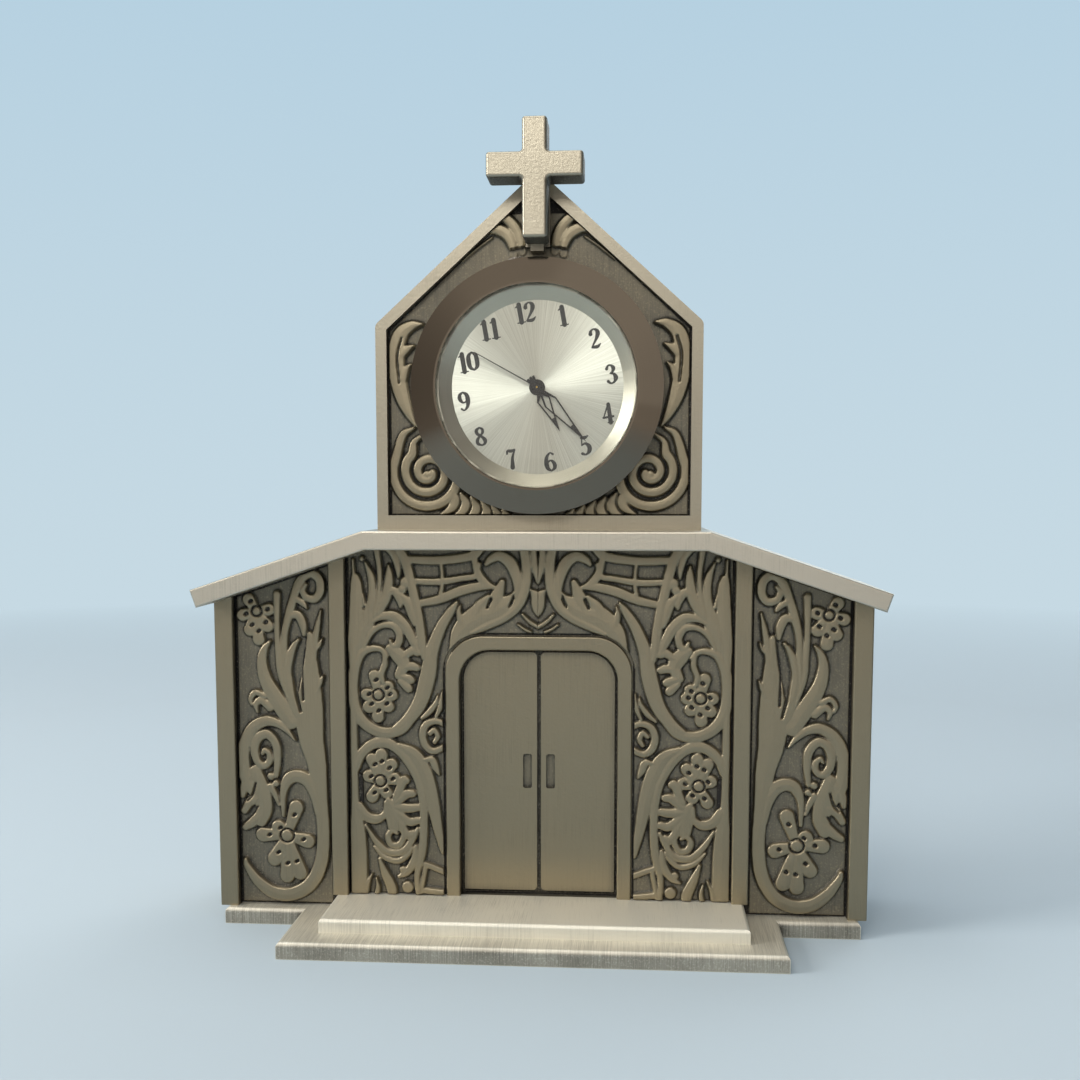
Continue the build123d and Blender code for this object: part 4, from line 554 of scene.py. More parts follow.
def blurred(field, reach):
    """The field with each place averaged over a square of its neighbours."""
    count = 2 * reach + 1
    wide = np.pad(field, reach, mode="edge")
    rows = np.cumsum(np.vstack([np.zeros((1, wide.shape[1])), wide]), axis=0)
    wide = (rows[count:] - rows[:-count]) / count
    cols = np.cumsum(np.hstack([np.zeros((wide.shape[0], 1)), wide]), axis=1)
    return (cols[:, count:] - cols[:, :-count]) / count


def rim_of(name, faces):
    """The points round the edge of a sheet of faces, in order."""
    edges = {}
    for face in faces:
        for a, b in zip(face, face[1:] + face[:1]):
            if (b, a) in edges:
                del edges[(b, a)]
            else:
                edges[(a, b)] = True
    follow = dict(edges.keys())
    start = next(iter(follow))
    rim = [start]
    while follow[rim[-1]] != start:
        rim.append(follow[rim[-1]])
    if len(rim) != len(follow):
        raise RuntimeError(f"{name}: the carving's rim isn't one line")
    return rim


def carved_solid(name, panel, kept, top, ground, buried, material, mirrored):
    """A closed solid of a panel's carving, its back buried in the casting."""
    x, z = np.meshgrid(panel.x, panel.z)
    below = z[:-1, :-1] < np.maximum(top[:-1], top[1:])[None, :]
    cells = kept[:-1, :-1] & kept[1:, :-1] & kept[:-1, 1:] & kept[1:, 1:] & below
    used = np.zeros_like(kept)
    for j in (0, 1):
        for i in (0, 1):
            rows = slice(j, j + cells.shape[0])
            used[rows, i : i + cells.shape[1]] |= cells
    depth = facade + ground - carving_rise * panel.lift
    order = np.full(kept.shape, -1)
    order[used] = np.arange(used.sum())
    side = -1 if mirrored else 1
    front = np.column_stack([side * x[used], depth[used], np.minimum(z, top[None, :])[used]])

    j, i = np.nonzero(cells)
    corners = [order[j, i], order[j, i + 1], order[j + 1, i + 1], order[j + 1, i]]
    faces = np.column_stack(corners).tolist()
    rim = rim_of(name, faces)
    count = len(front)
    back = front[rim].copy()
    back[:, 1] = facade + buried
    for k in range(len(rim)):
        after = (k + 1) % len(rim)
        faces.append([rim[after], rim[k], count + k, count + after])
    faces.append([count + k for k in range(len(rim))][::-1])
    if mirrored:
        faces = [face[::-1] for face in faces]

    mesh = bpy.data.meshes.new(name)
    mesh.from_pydata((np.vstack([front, back]) * MM).tolist(), [], faces)
    standing_out = panel.lift - blurred(panel.lift, outstanding_reach)
    wear = level_wear + top_wear * panel.lift + outstanding_wear * standing_out
    attribute = mesh.attributes.new("wear", "FLOAT", "POINT")
    values = np.concatenate([np.clip(wear, 0, 1)[used], np.zeros(len(rim))])
    attribute.data.foreach_set("value", values)
    mesh.polygons.foreach_set("use_smooth", [True] * len(mesh.polygons))
    mesh.materials.append(material)
    piece = placed(name, mesh)
    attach(piece, "clock_case")


def carve_both_sides(name, panel_parts, ground, buried):
    # Cast antique zinc like the wall behind it, with its own wear: bright tops, dark grooves
    material = finish("carved_antique_zinc", carved_metal)
    for side, mirrored in (("left", False), ("right", True)):
        carved_solid(f"{name}_{side}", *panel_parts, ground, buried, material, mirrored)


# Finishes

# Between these two values lies most of what a noise gives
noise_span = (0.3, 0.7)

# Antique zinc, in millimetres: patches of darker skin, brush marks, the cast skin's sand with its
# depth, and bright flecks. Real brush marks are a third as wide, and are drawn coarser to show.
patch_size = 7.0
brush_width = 0.07
sand_size = 0.3
sand_depth = 0.02
fleck_size = 0.2

# How much the patches and brush marks shift the wear, and where in the wear the dark, grey and
# bright metal stand
patch_shift = 0.06
brush_shift = 0.08
dark_place = 0.06
skin_place = 0.34
bright_place = 0.78

# How much longer than wide the brush marks are: upright on a wall, and across a step, from its back
# to its front and down its edge
upright_marks = (1.0, 1.0, 60.0)
step_marks = (1.0, 60.0, 60.0)

# Flecks stand where their noise is this high; over a span of wear they are rubbed down to a share
fleck_span = (0.54, 0.7)
fleck_wear_span = (0.45, 0.6)
fleck_worn_share = 1 / 6

# Spans of wear over which zinc turns from skin to bare metal, and from rough to its best gloss
bare_span = (0.1, 0.6)
gloss_span = (0.1, 0.9)

# How far, in millimetres, a wall darkens a hollow beside it; how open a place has to be to be rubbed,
# and how worn a hollow still is
hollow_reach = 1.2
open_span = (0.4, 0.95)
hollow_wear = 0.1

# How round an edge is rubbed in millimetres, over which span the rounded normal leaves the true one,
# and how much more worn an edge is
rubbed_edge = 0.18
edge_span = (0.995, 0.9)
edge_wear = 0.4

# How straight a face has to look along an axis to be painted as lit; the faces beside it are painted as
# shaded
facing_span = (0.3, 0.85)

# A turned ring's darker colour and its roughness, and the roughness of a grain's lows and highs,
# each as a share of the surface's own
ring_shade_share = 0.1
ring_rough_share = 1.5
grain_rough_shares = (0.9, 1.15)

# The sunburst, in millimetres: how wide a brush line is at a radius, and how deep; real lines are a
# third as wide, and are drawn coarser to show
ray_width = 0.09
ray_radius = 8.1
ray_depth = 0.004
ray_span = (0.35, 0.65)

# Share of the light that glass mirrors when seen straight
glass_gloss = 0.04


def put(tree, kind, inputs=(), stops=(), **settings):
    """Adds a node with its settings and links, and gives a colour ramp its places and colours.

    Inputs stand in the order of the sockets, or under their names. Each is a value, an output
    socket, or a node whose first output is meant."""
    node = tree.nodes.new(kind)
    for name, value in settings.items():
        setattr(node, name, value)
    pairs = inputs.items() if isinstance(inputs, dict) else enumerate(inputs)
    for name, value in pairs:
        source = value.outputs[0] if isinstance(value, bpy.types.Node) else value
        if isinstance(source, bpy.types.NodeSocket):
            tree.links.new(source, node.inputs[name])
        else:
            node.inputs[name].default_value = source
    if stops:
        elements = node.color_ramp.elements
        for position, _ in stops[2:]:
            elements.new(position)
        for element, (position, colour) in zip(elements, stops):
            element.position, element.color = position, colour
    return node


def finish(name, surface, *values, **named_values):
    """The material of that name; a function makes its surface from the values when it is new."""
    material = bpy.data.materials.get(name)
    if not material:
        material = bpy.data.materials.new(name)
        material.use_nodes = True
        tree = material.node_tree
        tree.nodes.clear()
        put(tree, "ShaderNodeOutputMaterial", (surface(tree, *values, **named_values),))
    return material


def dress(nodes, material):
    """Gives CAD nodes a finish, in place of the record's."""
    for name in nodes:
        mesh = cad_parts[name].data
        mesh.materials.clear()
        mesh.materials.append(material)


def shaded(colour, share):
    """A colour, darker by a share."""
    return tuple(c * (1 - share) for c in colour[:3]) + (1.0,)


def grain(tree, size, stretch=(1.0, 1.0, 1.0), detail=2.0):
    """Noise on the object's own coordinates, its spots of a real size in millimetres."""
    place = put(tree, "ShaderNodeTexCoord").outputs["Object"]
    scale = tuple(1 / (size * MM * s) for s in stretch)
    mapped = put(tree, "ShaderNodeMapping", {"Vector": place, "Scale": scale})
    return put(tree, "ShaderNodeTexNoise", {"Vector": mapped, "Scale": 1.0, "Detail": detail})


def grained_surface(tree, pattern, colour, darker, metallic, roughness, depth):
    """A surface whose colour, gloss and height follow a pattern; depth is in millimetres."""
    stops = tuple(zip(noise_span, (darker, colour)))
    inputs = {
        "Base Color": put(tree, "ShaderNodeValToRGB", (pattern,), stops=stops),
        "Metallic": metallic,
        "Roughness": put(tree, "ShaderNodeMapRange", (pattern, *noise_span, *roughness)),
        "Normal": put(tree, "ShaderNodeBump", {"Height": pattern, "Strength": 1.0, "Distance": depth * MM}),
    }
    return put(tree, "ShaderNodeBsdfPrincipled", inputs)


def aged_metal(tree, worn, high, rough, metal=(0.55, 0.92), brushing=upright_marks, flecked=0.3):
    """Cast zinc, darkened and rubbed bright again: dull in its hollows, a brushed sheen where it is worn.

    rough is the roughness of the worn metal and of the dark skin, and metal how metallic the skin and
    the worn metal are."""
    settings = bpy.context.scene.clock_finish
    patches = grain(tree, patch_size, detail=3.0)
    shift = put(tree, "ShaderNodeMapRange", (patches, *noise_span, -patch_shift, patch_shift))
    mottled = put(tree, "ShaderNodeMath", (shift, worn), operation="ADD")
    marks = grain(tree, brush_width, brushing)
    shift = put(tree, "ShaderNodeMapRange", (marks, *noise_span, -brush_shift, brush_shift))
    streaked = put(tree, "ShaderNodeMath", (shift, mottled), operation="ADD")

    # Bright flecks in the dark skin, which the rubbing has mostly taken from the worn metal
    flecks = put(tree, "ShaderNodeMapRange", (grain(tree, fleck_size), *fleck_span, 0.0, 1.0))
    fading = (worn, *fleck_wear_span, flecked, flecked * fleck_worn_share)
    strength = put(tree, "ShaderNodeMapRange", fading)
    flecks = put(tree, "ShaderNodeMath", (flecks, strength), operation="MULTIPLY")
    shade = put(tree, "ShaderNodeMath", (flecks, streaked), operation="ADD")
    stops = (
        (dark_place, tuple(settings.dark_metal)),
        (skin_place, tuple(settings.skin_metal)),
        (bright_place, high),
    )
    sand = {"Height": grain(tree, sand_size, detail=3.0), "Strength": 1.0, "Distance": sand_depth * MM}
    inputs = {
        "Base Color": put(tree, "ShaderNodeValToRGB", (shade,), stops=stops),
        "Metallic": put(tree, "ShaderNodeMapRange", (worn, *bare_span, *metal)),
        "Roughness": put(tree, "ShaderNodeMapRange", (streaked, *gloss_span, *reversed(rough))),
        "Normal": put(tree, "ShaderNodeBump", sand),
    }
    return put(tree, "ShaderNodeBsdfPrincipled", inputs)


def carved_metal(tree):
    """Antique zinc on the carving, whose mesh says how worn each place is."""
    worn = put(tree, "ShaderNodeAttribute", attribute_name="wear").outputs["Fac"]
    bright = tuple(bpy.context.scene.clock_finish.worn_metal)
    return aged_metal(tree, worn, bright, rough=(0.4, 0.62))


def open_share(tree, half_width, dark_from, under_gable=False):
    """1 all over a casting, 0 on what lies deep in its sunk panels, the doorway left out; where it is 0 the
    zinc is painted near black as shade.

    Both are millimetres: half the width between the outer strips, and the depth from which the painted shade
    starts."""
    place = put(tree, "ShaderNodeTexCoord").outputs["Object"]
    parts = put(tree, "ShaderNodeSeparateXYZ", (place,)).outputs
    across = put(tree, "ShaderNodeMath", (parts["X"],), operation="ABSOLUTE")
    margin = dark_line / 4
    tests = [
        (parts["Y"], "GREATER_THAN", dark_from),
        (parts["Y"], "LESS_THAN", panel_wall_middle),
        (across, "LESS_THAN", half_width + margin),
    ]
    if under_gable:
        fallen = put(tree, "ShaderNodeMath", (across, gable_slope), operation="MULTIPLY")
        rise = put(tree, "ShaderNodeMath", (fallen, parts["Z"]), operation="ADD")
        tests.append((rise, "LESS_THAN", gable_foot[1] - gable_foot[0] * gable_slope + dark_line))
    beside_door = put(tree, "ShaderNodeMath", (across, (door_half + margin) * MM), operation="GREATER_THAN")
    over_door = put(tree, "ShaderNodeMath", (parts["Z"], (door_top + margin) * MM), operation="GREATER_THAN")
    painted_shade = put(tree, "ShaderNodeMath", (beside_door, over_door), operation="MAXIMUM")
    for value, test, limit in tests:
        passed = put(tree, "ShaderNodeMath", (value, limit * MM), operation=test)
        painted_shade = put(tree, "ShaderNodeMath", (painted_shade, passed), operation="MULTIPLY")
    return put(tree, "ShaderNodeMath", (1.0, painted_shade), operation="SUBTRACT")


def facing_share(tree, axis, aside):
    """1 on faces that look along an axis, painted as lit, less on those beside them, which are painted darker
    as shaded.
    """
    normal = put(tree, "ShaderNodeTexCoord").outputs["Normal"]
    part = put(tree, "ShaderNodeSeparateXYZ", (normal,)).outputs[axis]
    straight = put(tree, "ShaderNodeMath", (part,), operation="ABSOLUTE")
    return put(tree, "ShaderNodeMapRange", (straight, *facing_span, aside, 1.0))


def cast_metal(tree, high, panel=None, rubbed=0.8, rough=(0.36, 0.6), facing=None, **skin):
    """Antique zinc on a casting: hollows go dark by how closed in they are, edges are rubbed bright.

    panel is half the width of its sunk panels and the depth behind which they are painted near black as
    shade; facing is the axis along which faces are painted bright as lit, and how bright the others are,
    painted as shaded."""
    closed_in = put(
        tree, "ShaderNodeAmbientOcclusion", {"Distance": hollow_reach * MM}, samples=8, only_local=True
    )
    worn = put(tree, "ShaderNodeMapRange", (closed_in.outputs["AO"], *open_span, hollow_wear, rubbed))
    if facing:
        worn = put(tree, "ShaderNodeMath", (worn, facing_share(tree, *facing)), operation="MULTIPLY")

    # Where the rounded normal leaves the true one, an edge is near
    rounded = put(tree, "ShaderNodeBevel", {"Radius": rubbed_edge * MM}, samples=4)
    true_normal = put(tree, "ShaderNodeNewGeometry").outputs["Normal"]
    agreement = put(tree, "ShaderNodeVectorMath", (rounded, true_normal), operation="DOT_PRODUCT")
    edge = put(tree, "ShaderNodeMapRange", (agreement.outputs["Value"], *edge_span, 0.0, edge_wear))
    worn = put(tree, "ShaderNodeMath", (worn, edge), operation="ADD")
    if panel:
        worn = put(tree, "ShaderNodeMath", (worn, open_share(tree, *panel)), operation="MULTIPLY")
    return aged_metal(tree, worn, high, rough, **skin)


def from_clock_middle(tree):
    """Across and up from the line through the clock's middle, flat."""
    place = put(tree, "ShaderNodeTexCoord").outputs["Object"]
    moved = put(tree, "ShaderNodeVectorMath", (place, (0, 0, clock_z * MM)), operation="SUBTRACT")
    return put(tree, "ShaderNodeVectorMath", (moved, (1, 0, 1)), operation="MULTIPLY")


def turned_metal(tree, colour, roughness, ring, depth):
    """Metal turned on a lathe: rings about the clock's middle, ring apart and depth deep in millimetres.

    Real turning marks are a few hundredths of a millimetre apart, and are drawn coarser to show."""
    radius = put(tree, "ShaderNodeVectorMath", (from_clock_middle(tree),), operation="LENGTH")
    across = put(tree, "ShaderNodeMath", (radius.outputs["Value"], 1 / (ring * MM)), operation="MULTIPLY")
    noise = {"W": across, "Scale": 1.0, "Detail": 2.0}
    rings = put(tree, "ShaderNodeTexNoise", noise, noise_dimensions="1D")
    rough = (roughness, roughness * ring_rough_share)
    return grained_surface(tree, rings, colour, shaded(colour, ring_shade_share), 1.0, rough, depth)


def plain_surface(tree, colour, metallic, roughness, size=0.5, mottle=0.12, depth=0.002,
                  stretch=(1.0, 1.0, 1.0)):
    """A little grain in a surface's colour, gloss and height: size and depth are millimetres."""
    spots = grain(tree, size, stretch, detail=3.0)
    rough = [roughness * share for share in grain_rough_shares]
    return grained_surface(tree, spots, colour, shaded(colour, mottle), metallic, rough, depth)


def sunburst_silver(tree):
    """Silvered brass, brushed outwards from the middle, so that the light stands on it in two fans."""
    ray = put(tree, "ShaderNodeVectorMath", (from_clock_middle(tree),), operation="NORMALIZE")
    noise = {"Vector": ray, "Scale": ray_radius / ray_width, "Detail": 3.0}
    rays = put(tree, "ShaderNodeTexNoise", noise)
    stops = tuple(zip(ray_span, (linear("#c3bfb5"), linear("#dddad1"))))
    inputs = {
        "Base Color": put(tree, "ShaderNodeValToRGB", (rays,), stops=stops),
        "Metallic": 1.0,
        "Roughness": 0.34,
        "Anisotropic": 0.85,
        "Normal": put(tree, "ShaderNodeBump", {"Height": rays, "Strength": 1.0, "Distance": ray_depth * MM}),
        "Tangent": put(tree, "ShaderNodeTangent", direction_type="RADIAL", axis="Y"),
    }
    return put(tree, "ShaderNodeBsdfPrincipled", inputs)


def clear_glass(tree):
    """Mineral glass, polished: clear, with its surface's own reflection, the same on both sides.

    It mirrors more the flatter it is seen, with the fifth power of how far aside it faces."""
    aside = put(tree, "ShaderNodeLayerWeight", {"Blend": 0.5}).outputs["Facing"]
    steep = put(tree, "ShaderNodeMath", (aside, 5.0), operation="POWER")
    share = put(tree, "ShaderNodeMapRange", (steep, 0.0, 1.0, glass_gloss, 1.0))
    clear = put(tree, "ShaderNodeBsdfTransparent", {"Color": linear("#fbfdfc")})
    gloss = put(tree, "ShaderNodeBsdfGlossy", {"Roughness": 0.02})
    return put(tree, "ShaderNodeMixShader", (share, clear, gloss))


# Dial numerals

def ribbon(points, low, high, place):
    """A closed flat stroke with round ends, as points and faces; low and high are its depths."""
    rows = along(points)
    step = rows[1:, :2] - rows[:-1, :2]
    direction = np.vstack([step[:1], step[:-1] + step[1:], step[-1:]])
    direction /= np.linalg.norm(direction, axis=1)[:, None]
    across = np.column_stack([-direction[:, 1], direction[:, 0]]) * rows[:, 2:]
    left, right = rows[:, :2] + across, rows[:, :2] - across
    ends = []
    for row, heading in ((rows[-1], direction[-1]), (rows[0], -direction[0])):
        turn = np.arctan2(heading[1], heading[0])
        angles = turn + np.linspace(pi / 2, -pi / 2, round_end_points)[1:-1]
        ends.append(row[:2] + row[2] * np.column_stack([np.cos(angles), np.sin(angles)]))
    outline = np.vstack([left, ends[0], right[::-1], ends[1]])
    total = len(outline)
    points_3d = [place(x, z, high) for x, z in outline] + [place(x, z, low) for x, z in outline]
    ring = list(range(total))
    faces = [ring[::-1], [total + k for k in ring]]
    faces += [[k, (k + 1) % total, total + (k + 1) % total, total + k] for k in ring]
    return points_3d, faces


def insert_place(across, up, depth):
    """A place on the leaning clock insert, in the frame's millimetres."""
    x = across * cos(insert_lean) - up * sin(insert_lean)
    z = across * sin(insert_lean) + up * cos(insert_lean)
    return Vector((x, depth, clock_z + z))


def number_dial():
    """Twelve printed numerals with thick and thin strokes, upright on the dial."""
    settings = bpy.context.scene.clock_dial
    height = settings.numeral_height / MM
    bold = height * settings.numeral_weight
    radius = settings.numeral_radius / MM
    ink = settings.print_depth / MM
    points, faces = [], []
    for hour in range(1, 13):
        text = str(hour)
        angle = 2 * pi * hour / 12
        middle_x, middle_z = radius * sin(angle), radius * cos(angle)
        width = paired_width_share if len(text) > 1 else single_width_share
        for column, digit in enumerate(text):
            left = middle_x + height * (width * (column - len(text) / 2))
            for layer, stroke in enumerate(DIGITS[digit]):
                rows = [(left + x * height, middle_z + (y - 0.5) * height, w * bold) for x, y, w in stroke]
                high = dial_front - ink * (1 + layer_share * layer)
                stroke_points, stroke_faces = ribbon(rows, dial_front + ink, high, insert_place)
                start = len(points)
                points += stroke_points
                faces += [[start + k for k in face] for face in stroke_faces]
    mesh = bpy.data.meshes.new("dial_numerals")
    mesh.from_pydata([tuple(p * MM) for p in points], [], faces)

    # Ink, printed thinly on metal: an even black with a dull gloss
    ink_finish = finish("printing_ink", plain_surface, linear("#0b0b0b"), 0.0, 0.5, size=0.2, mottle=0.3)
    mesh.materials.append(ink_finish)
    piece = placed("dial_numerals", mesh)
    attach(piece, "insert")


# The crown's grip, made with Geometry Nodes

def ridge_tree():
    """Ridges that stand round a barrel: count, barrel radius, ridge radius and length are inputs."""
    tree = bpy.data.node_groups.new("crown_ridges", "GeometryNodeTree")
    kinds = {"Geometry": "Geometry", "Count": "Int", "Barrel": "Float", "Ridge": "Float", "Length": "Float"}
    for name, kind in (kinds | {"Finish": "Material"}).items():
        tree.interface.new_socket(name, in_out="INPUT", socket_type=f"NodeSocket{kind}")
    tree.interface.new_socket("Geometry", in_out="OUTPUT", socket_type="NodeSocketGeometry")
    inputs = put(tree, "NodeGroupInput").outputs
    around = put(tree, "GeometryNodeMeshCircle", {"Vertices": inputs["Count"], "Radius": inputs["Barrel"]})
    bar_inputs = {"Vertices": 8, "Radius": inputs["Ridge"], "Depth": inputs["Length"]}
    bar = put(tree, "GeometryNodeMeshCylinder", bar_inputs)
    ridges = put(tree, "GeometryNodeInstanceOnPoints", {"Points": around, "Instance": bar})
    real = put(tree, "GeometryNodeRealizeInstances", {"Geometry": ridges})
    dressed = put(tree, "GeometryNodeSetMaterial", {"Geometry": real, "Material": inputs["Finish"]})
    put(tree, "NodeGroupOutput", {"Geometry": dressed})
    return tree


def baked(name, tree, values):
    """An object of a tree's result as a plain mesh."""
    carrier = placed(name, bpy.data.meshes.new(name + "_carrier"))
    modifier = carrier.modifiers.new(name, "NODES")
    modifier.node_group = tree
    for socket in tree.interface.items_tree:
        if socket.in_out == "INPUT" and socket.name in values:
            modifier[socket.identifier] = values[socket.name]
    bpy.context.view_layer.update()
    evaluated = carrier.evaluated_get(bpy.context.evaluated_depsgraph_get())
    mesh = bpy.data.meshes.new_from_object(evaluated)
    carrier.modifiers.remove(modifier)
    bpy.data.objects.remove(carrier)
    mesh.name = name
    return placed(name, mesh)


def ridge_crown():
    """Stands the ridges round the crown, and returns the metal of both."""
    settings = bpy.context.scene.clock_dial
    middle = (crown_low + crown_high) / 2

    # Turned steel, plainly bright between its ridges
    steel = finish("bright_steel_crown", turned_metal, linear("#8d8880"), 0.3, ring=0.2, depth=0.001)
    values = {
        "Count": settings.crown_ridges,
        "Barrel": settings.crown_radius,
        "Ridge": settings.crown_ridge,
        "Length": settings.crown_length,
        "Finish": steel,
    }
    piece = baked("crown_ridges", ridge_tree(), values)
    axis = Vector((-sin(insert_lean), 0, cos(insert_lean)))
    turn = Vector((0, 0, 1)).rotation_difference(axis).to_matrix().to_4x4()
    piece.data.transform(Matrix.Translation(middle * MM) @ turn)
    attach(piece, "crown")
    return steel


# The stage: a pale bowl, lamps and the camera

# How finely the bowl is made: steps of its bend, and points round it
bend_steps = 16
round_points = 96

# The mirrored room: how far round from the front, 0, to the sides, 1, it falls into shade, and between
# which headings, 0 at the sides and 1 behind the clock, the backdrop takes over
room_shade_span = (0.12, 0.34)
backdrop_span = (-0.1, 0.2)

# The lamps: name, place and size in metres, and colour
LAMPS = (
    ("key", (-0.15, -0.1, 0.58), (0.5, 0.4), (1.0, 0.96, 0.9)),
    ("fill", (0.2, -0.55, 0.22), (0.7, 0.6), (1.0, 0.98, 0.95)),
    ("side", (-0.5, -0.18, 0.26), (0.22, 0.22), (1.0, 0.98, 0.95)),
    ("front", (-0.075, -0.42, 0.26), (0.12, 0.12), (1.0, 0.98, 0.94)),
    ("top", (0.0, 0.1, 0.6), (0.4, 0.3), (1.0, 1.0, 1.0)),
    ("back", (0.25, 0.45, 0.35), (0.35, 0.3), (1.0, 1.0, 1.0)),
)


def seen_share(tree):
    """1 for what the camera, mirrors and glass see, 0 for the light that falls on the clock."""
    rays = put(tree, "ShaderNodeLightPath").outputs
    seen = put(tree, "ShaderNodeMath", (rays["Is Camera Ray"], rays["Is Glossy Ray"]), operation="MAXIMUM")
    return put(tree, "ShaderNodeMath", (seen, rays["Is Transmission Ray"]), operation="MAXIMUM")


def mirrored_room(tree, place, backdrop):
    """What metal and glass mirror: the backdrop behind the clock, and a warm room in front of it."""
    settings = bpy.context.scene.clock_stage
    level = put(tree, "ShaderNodeVectorMath", (place, (1, 1, 0)), operation="MULTIPLY")
    heading = put(tree, "ShaderNodeVectorMath", (level,), operation="NORMALIZE")
    behind = put(tree, "ShaderNodeSeparateXYZ", (heading,)).outputs["Y"]
    sideways = put(tree, "ShaderNodeMapRange", (behind, -1.0, 0.0, 0.0, 1.0))
    tones = (tuple(settings.room_colour), tuple(settings.room_shade))
    room = put(tree, "ShaderNodeValToRGB", (sideways,), stops=tuple(zip(room_shade_span, tones)))
    share = put(tree, "ShaderNodeMapRange", (behind, *backdrop_span, 0.0, 1.0))
    return put(tree, "ShaderNodeMixRGB", (share, room, backdrop))


def seen_colour(tree, place, backdrop):
    """The backdrop for the camera, and what mirrors show for the rest."""
    camera = put(tree, "ShaderNodeLightPath").outputs["Is Camera Ray"]
    return put(tree, "ShaderNodeMixRGB", (camera, mirrored_room(tree, place, backdrop), backdrop))


def blue_paper(tree):
    """Matt paper that the clock stands on; far off it fades to the backdrop's own even tone."""
    settings = bpy.context.scene.clock_stage
    floor, low, high = (tuple(c) for c in (settings.floor_colour, settings.haze_colour, settings.wall_colour))
    place = put(tree, "ShaderNodeTexCoord").outputs["Object"]
    height = put(tree, "ShaderNodeSeparateXYZ", (place,)).outputs["Z"]
    tone = put(tree, "ShaderNodeValToRGB", (height,), stops=((0.0, floor), (settings.wall_height, high)))
    paper = put(tree, "ShaderNodeBsdfDiffuse", (tone,))
    haze = put(tree, "ShaderNodeValToRGB", (height,), stops=((0.0, low), (settings.haze_height, high)))
    glow = put(tree, "ShaderNodeEmission", (seen_colour(tree, place, haze),))
    radius = put(tree, "ShaderNodeVectorMath", (place,), operation="LENGTH").outputs["Value"]
    fade = (radius, settings.haze_start, settings.floor_radius, 0.0, 1.0)
    far = put(tree, "ShaderNodeMapRange", fade)
    share = put(tree, "ShaderNodeMath", (far, seen_share(tree)), operation="MULTIPLY")
    return put(tree, "ShaderNodeMixShader", (share, paper, glow))


def stage_bowl():
    """A flat floor that curves up into a wall all round."""
    settings = bpy.context.scene.clock_stage
    flat, bend = settings.floor_radius, settings.bend_radius
    profile = []
    for step in range(bend_steps + 1):
        angle = pi / 2 * step / bend_steps
        profile.append((flat + bend * sin(angle), bend * (1 - cos(angle))))
    profile.append((flat + bend, settings.wall_height))
    points, faces = [(0, 0, 0)], []
    for radius, height in profile:
        for k in range(round_points):
            angle = 2 * pi * k / round_points
            points.append((radius * cos(angle), radius * sin(angle), height))
    for k in range(round_points):
        after = (k + 1) % round_points
        faces.append((0, 1 + k, 1 + after))
        for row in range(len(profile) - 1):
            a, b = 1 + row * round_points, 1 + (row + 1) * round_points
            faces.append((a + k, b + k, b + after, a + after))
    mesh = bpy.data.meshes.new("stage_bowl")
    mesh.from_pydata(points, [], faces)
    mesh.polygons.foreach_set("use_smooth", [True] * len(mesh.polygons))
    mesh.materials.append(finish("pale_blue_paper", blue_paper))
    placed("stage_bowl", mesh)


def set_lamps():
    settings = bpy.context.scene.clock_stage
    aim = Vector((0, 0, nave_high.z * MM))
    for name, place, size, colour in LAMPS:
        data = bpy.data.lights.new(f"{name}_lamp", "AREA")
        data.shape = "RECTANGLE"
        data.size, data.size_y = size
        data.energy = getattr(settings, f"{name}_power")
        data.color = colour
        lamp = placed(f"{name}_lamp", data)
        lamp.location = place
        lamp.rotation_euler = (aim - Vector(place)).to_track_quat("-Z", "Y").to_euler()


def set_world():
    """Even pale light from above; the camera sees the paper's colour there, and mirrors see the room."""
    settings = bpy.context.scene.clock_stage
    world = bpy.data.worlds.new("studio")
    bpy.context.scene.world = world
    world.use_nodes = True
    tree = world.node_tree
    tree.nodes.clear()
    light = put(tree, "ShaderNodeBackground", (linear("#f4f7fa"), settings.world_strength))
    heading = put(tree, "ShaderNodeTexCoord").outputs["Generated"]
    seen = seen_colour(tree, heading, tuple(settings.wall_colour))
    paper = put(tree, "ShaderNodeBackground", (seen, 1.0))
    mix = put(tree, "ShaderNodeMixShader", (seen_share(tree), light, paper))
    put(tree, "ShaderNodeOutputWorld", (mix,))


def set_camera():
    settings = bpy.context.scene.clock_stage
    data = bpy.data.cameras.new("camera")
    data.lens = settings.lens
    data.sensor_width = settings.sensor_width
    data.shift_y = settings.camera_shift
    data.clip_start = settings.clip_start
    camera = placed("camera", data)
    camera.location = settings.camera_place
    camera.rotation_euler = (pi / 2 + settings.camera_pitch, 0, settings.camera_yaw)
    bpy.context.scene.camera = camera


# Settings

def colour_setting(name, description, code):
    return bpy.props.FloatVectorProperty(
        name=name, description=description, default=linear(code), size=4, min=0.0, max=1.0, subtype="COLOR"
    )


def length_setting(name, description, default):
    return bpy.props.FloatProperty(
        name=name,
        description=description,
        default=default,
        min=0.0,
        precision=5,
        subtype="DISTANCE",
        unit="LENGTH",
    )


def number_setting(name, description, default, **more):
    return bpy.props.FloatProperty(name=name, description=description, default=default, **more)


class ClockFinishSettings(bpy.types.PropertyGroup):
    worn_metal: colour_setting("Worn metal", "Antique zinc where it is rubbed bright", "#8b826d")
    skin_metal: colour_setting("Skin metal", "Antique zinc that keeps its grey cast skin", "#6b675c")
    # The dark metal is also the painted shade deep in the sunk panels
    dark_metal: colour_setting("Dark metal", "Antique zinc in its hollows", "#24211e")
    # The roof, the steps, and the tower and cross are lighter copies of the same zinc, painted lighter as lit
    # from above; the roof and steps are brushed as well
    bright_metal: colour_setting("Bright metal", "The roof, brushed last", "#bcb6a8")
    step_metal: colour_setting("Step metal", "The two steps, rubbed brightest", "#dcd7c8")
    strip_metal: colour_setting("Strip metal", "The tower and the cross", "#9d9787")
    brass: colour_setting("Brass", "Plates and wheels of the movement", "#c9a552")


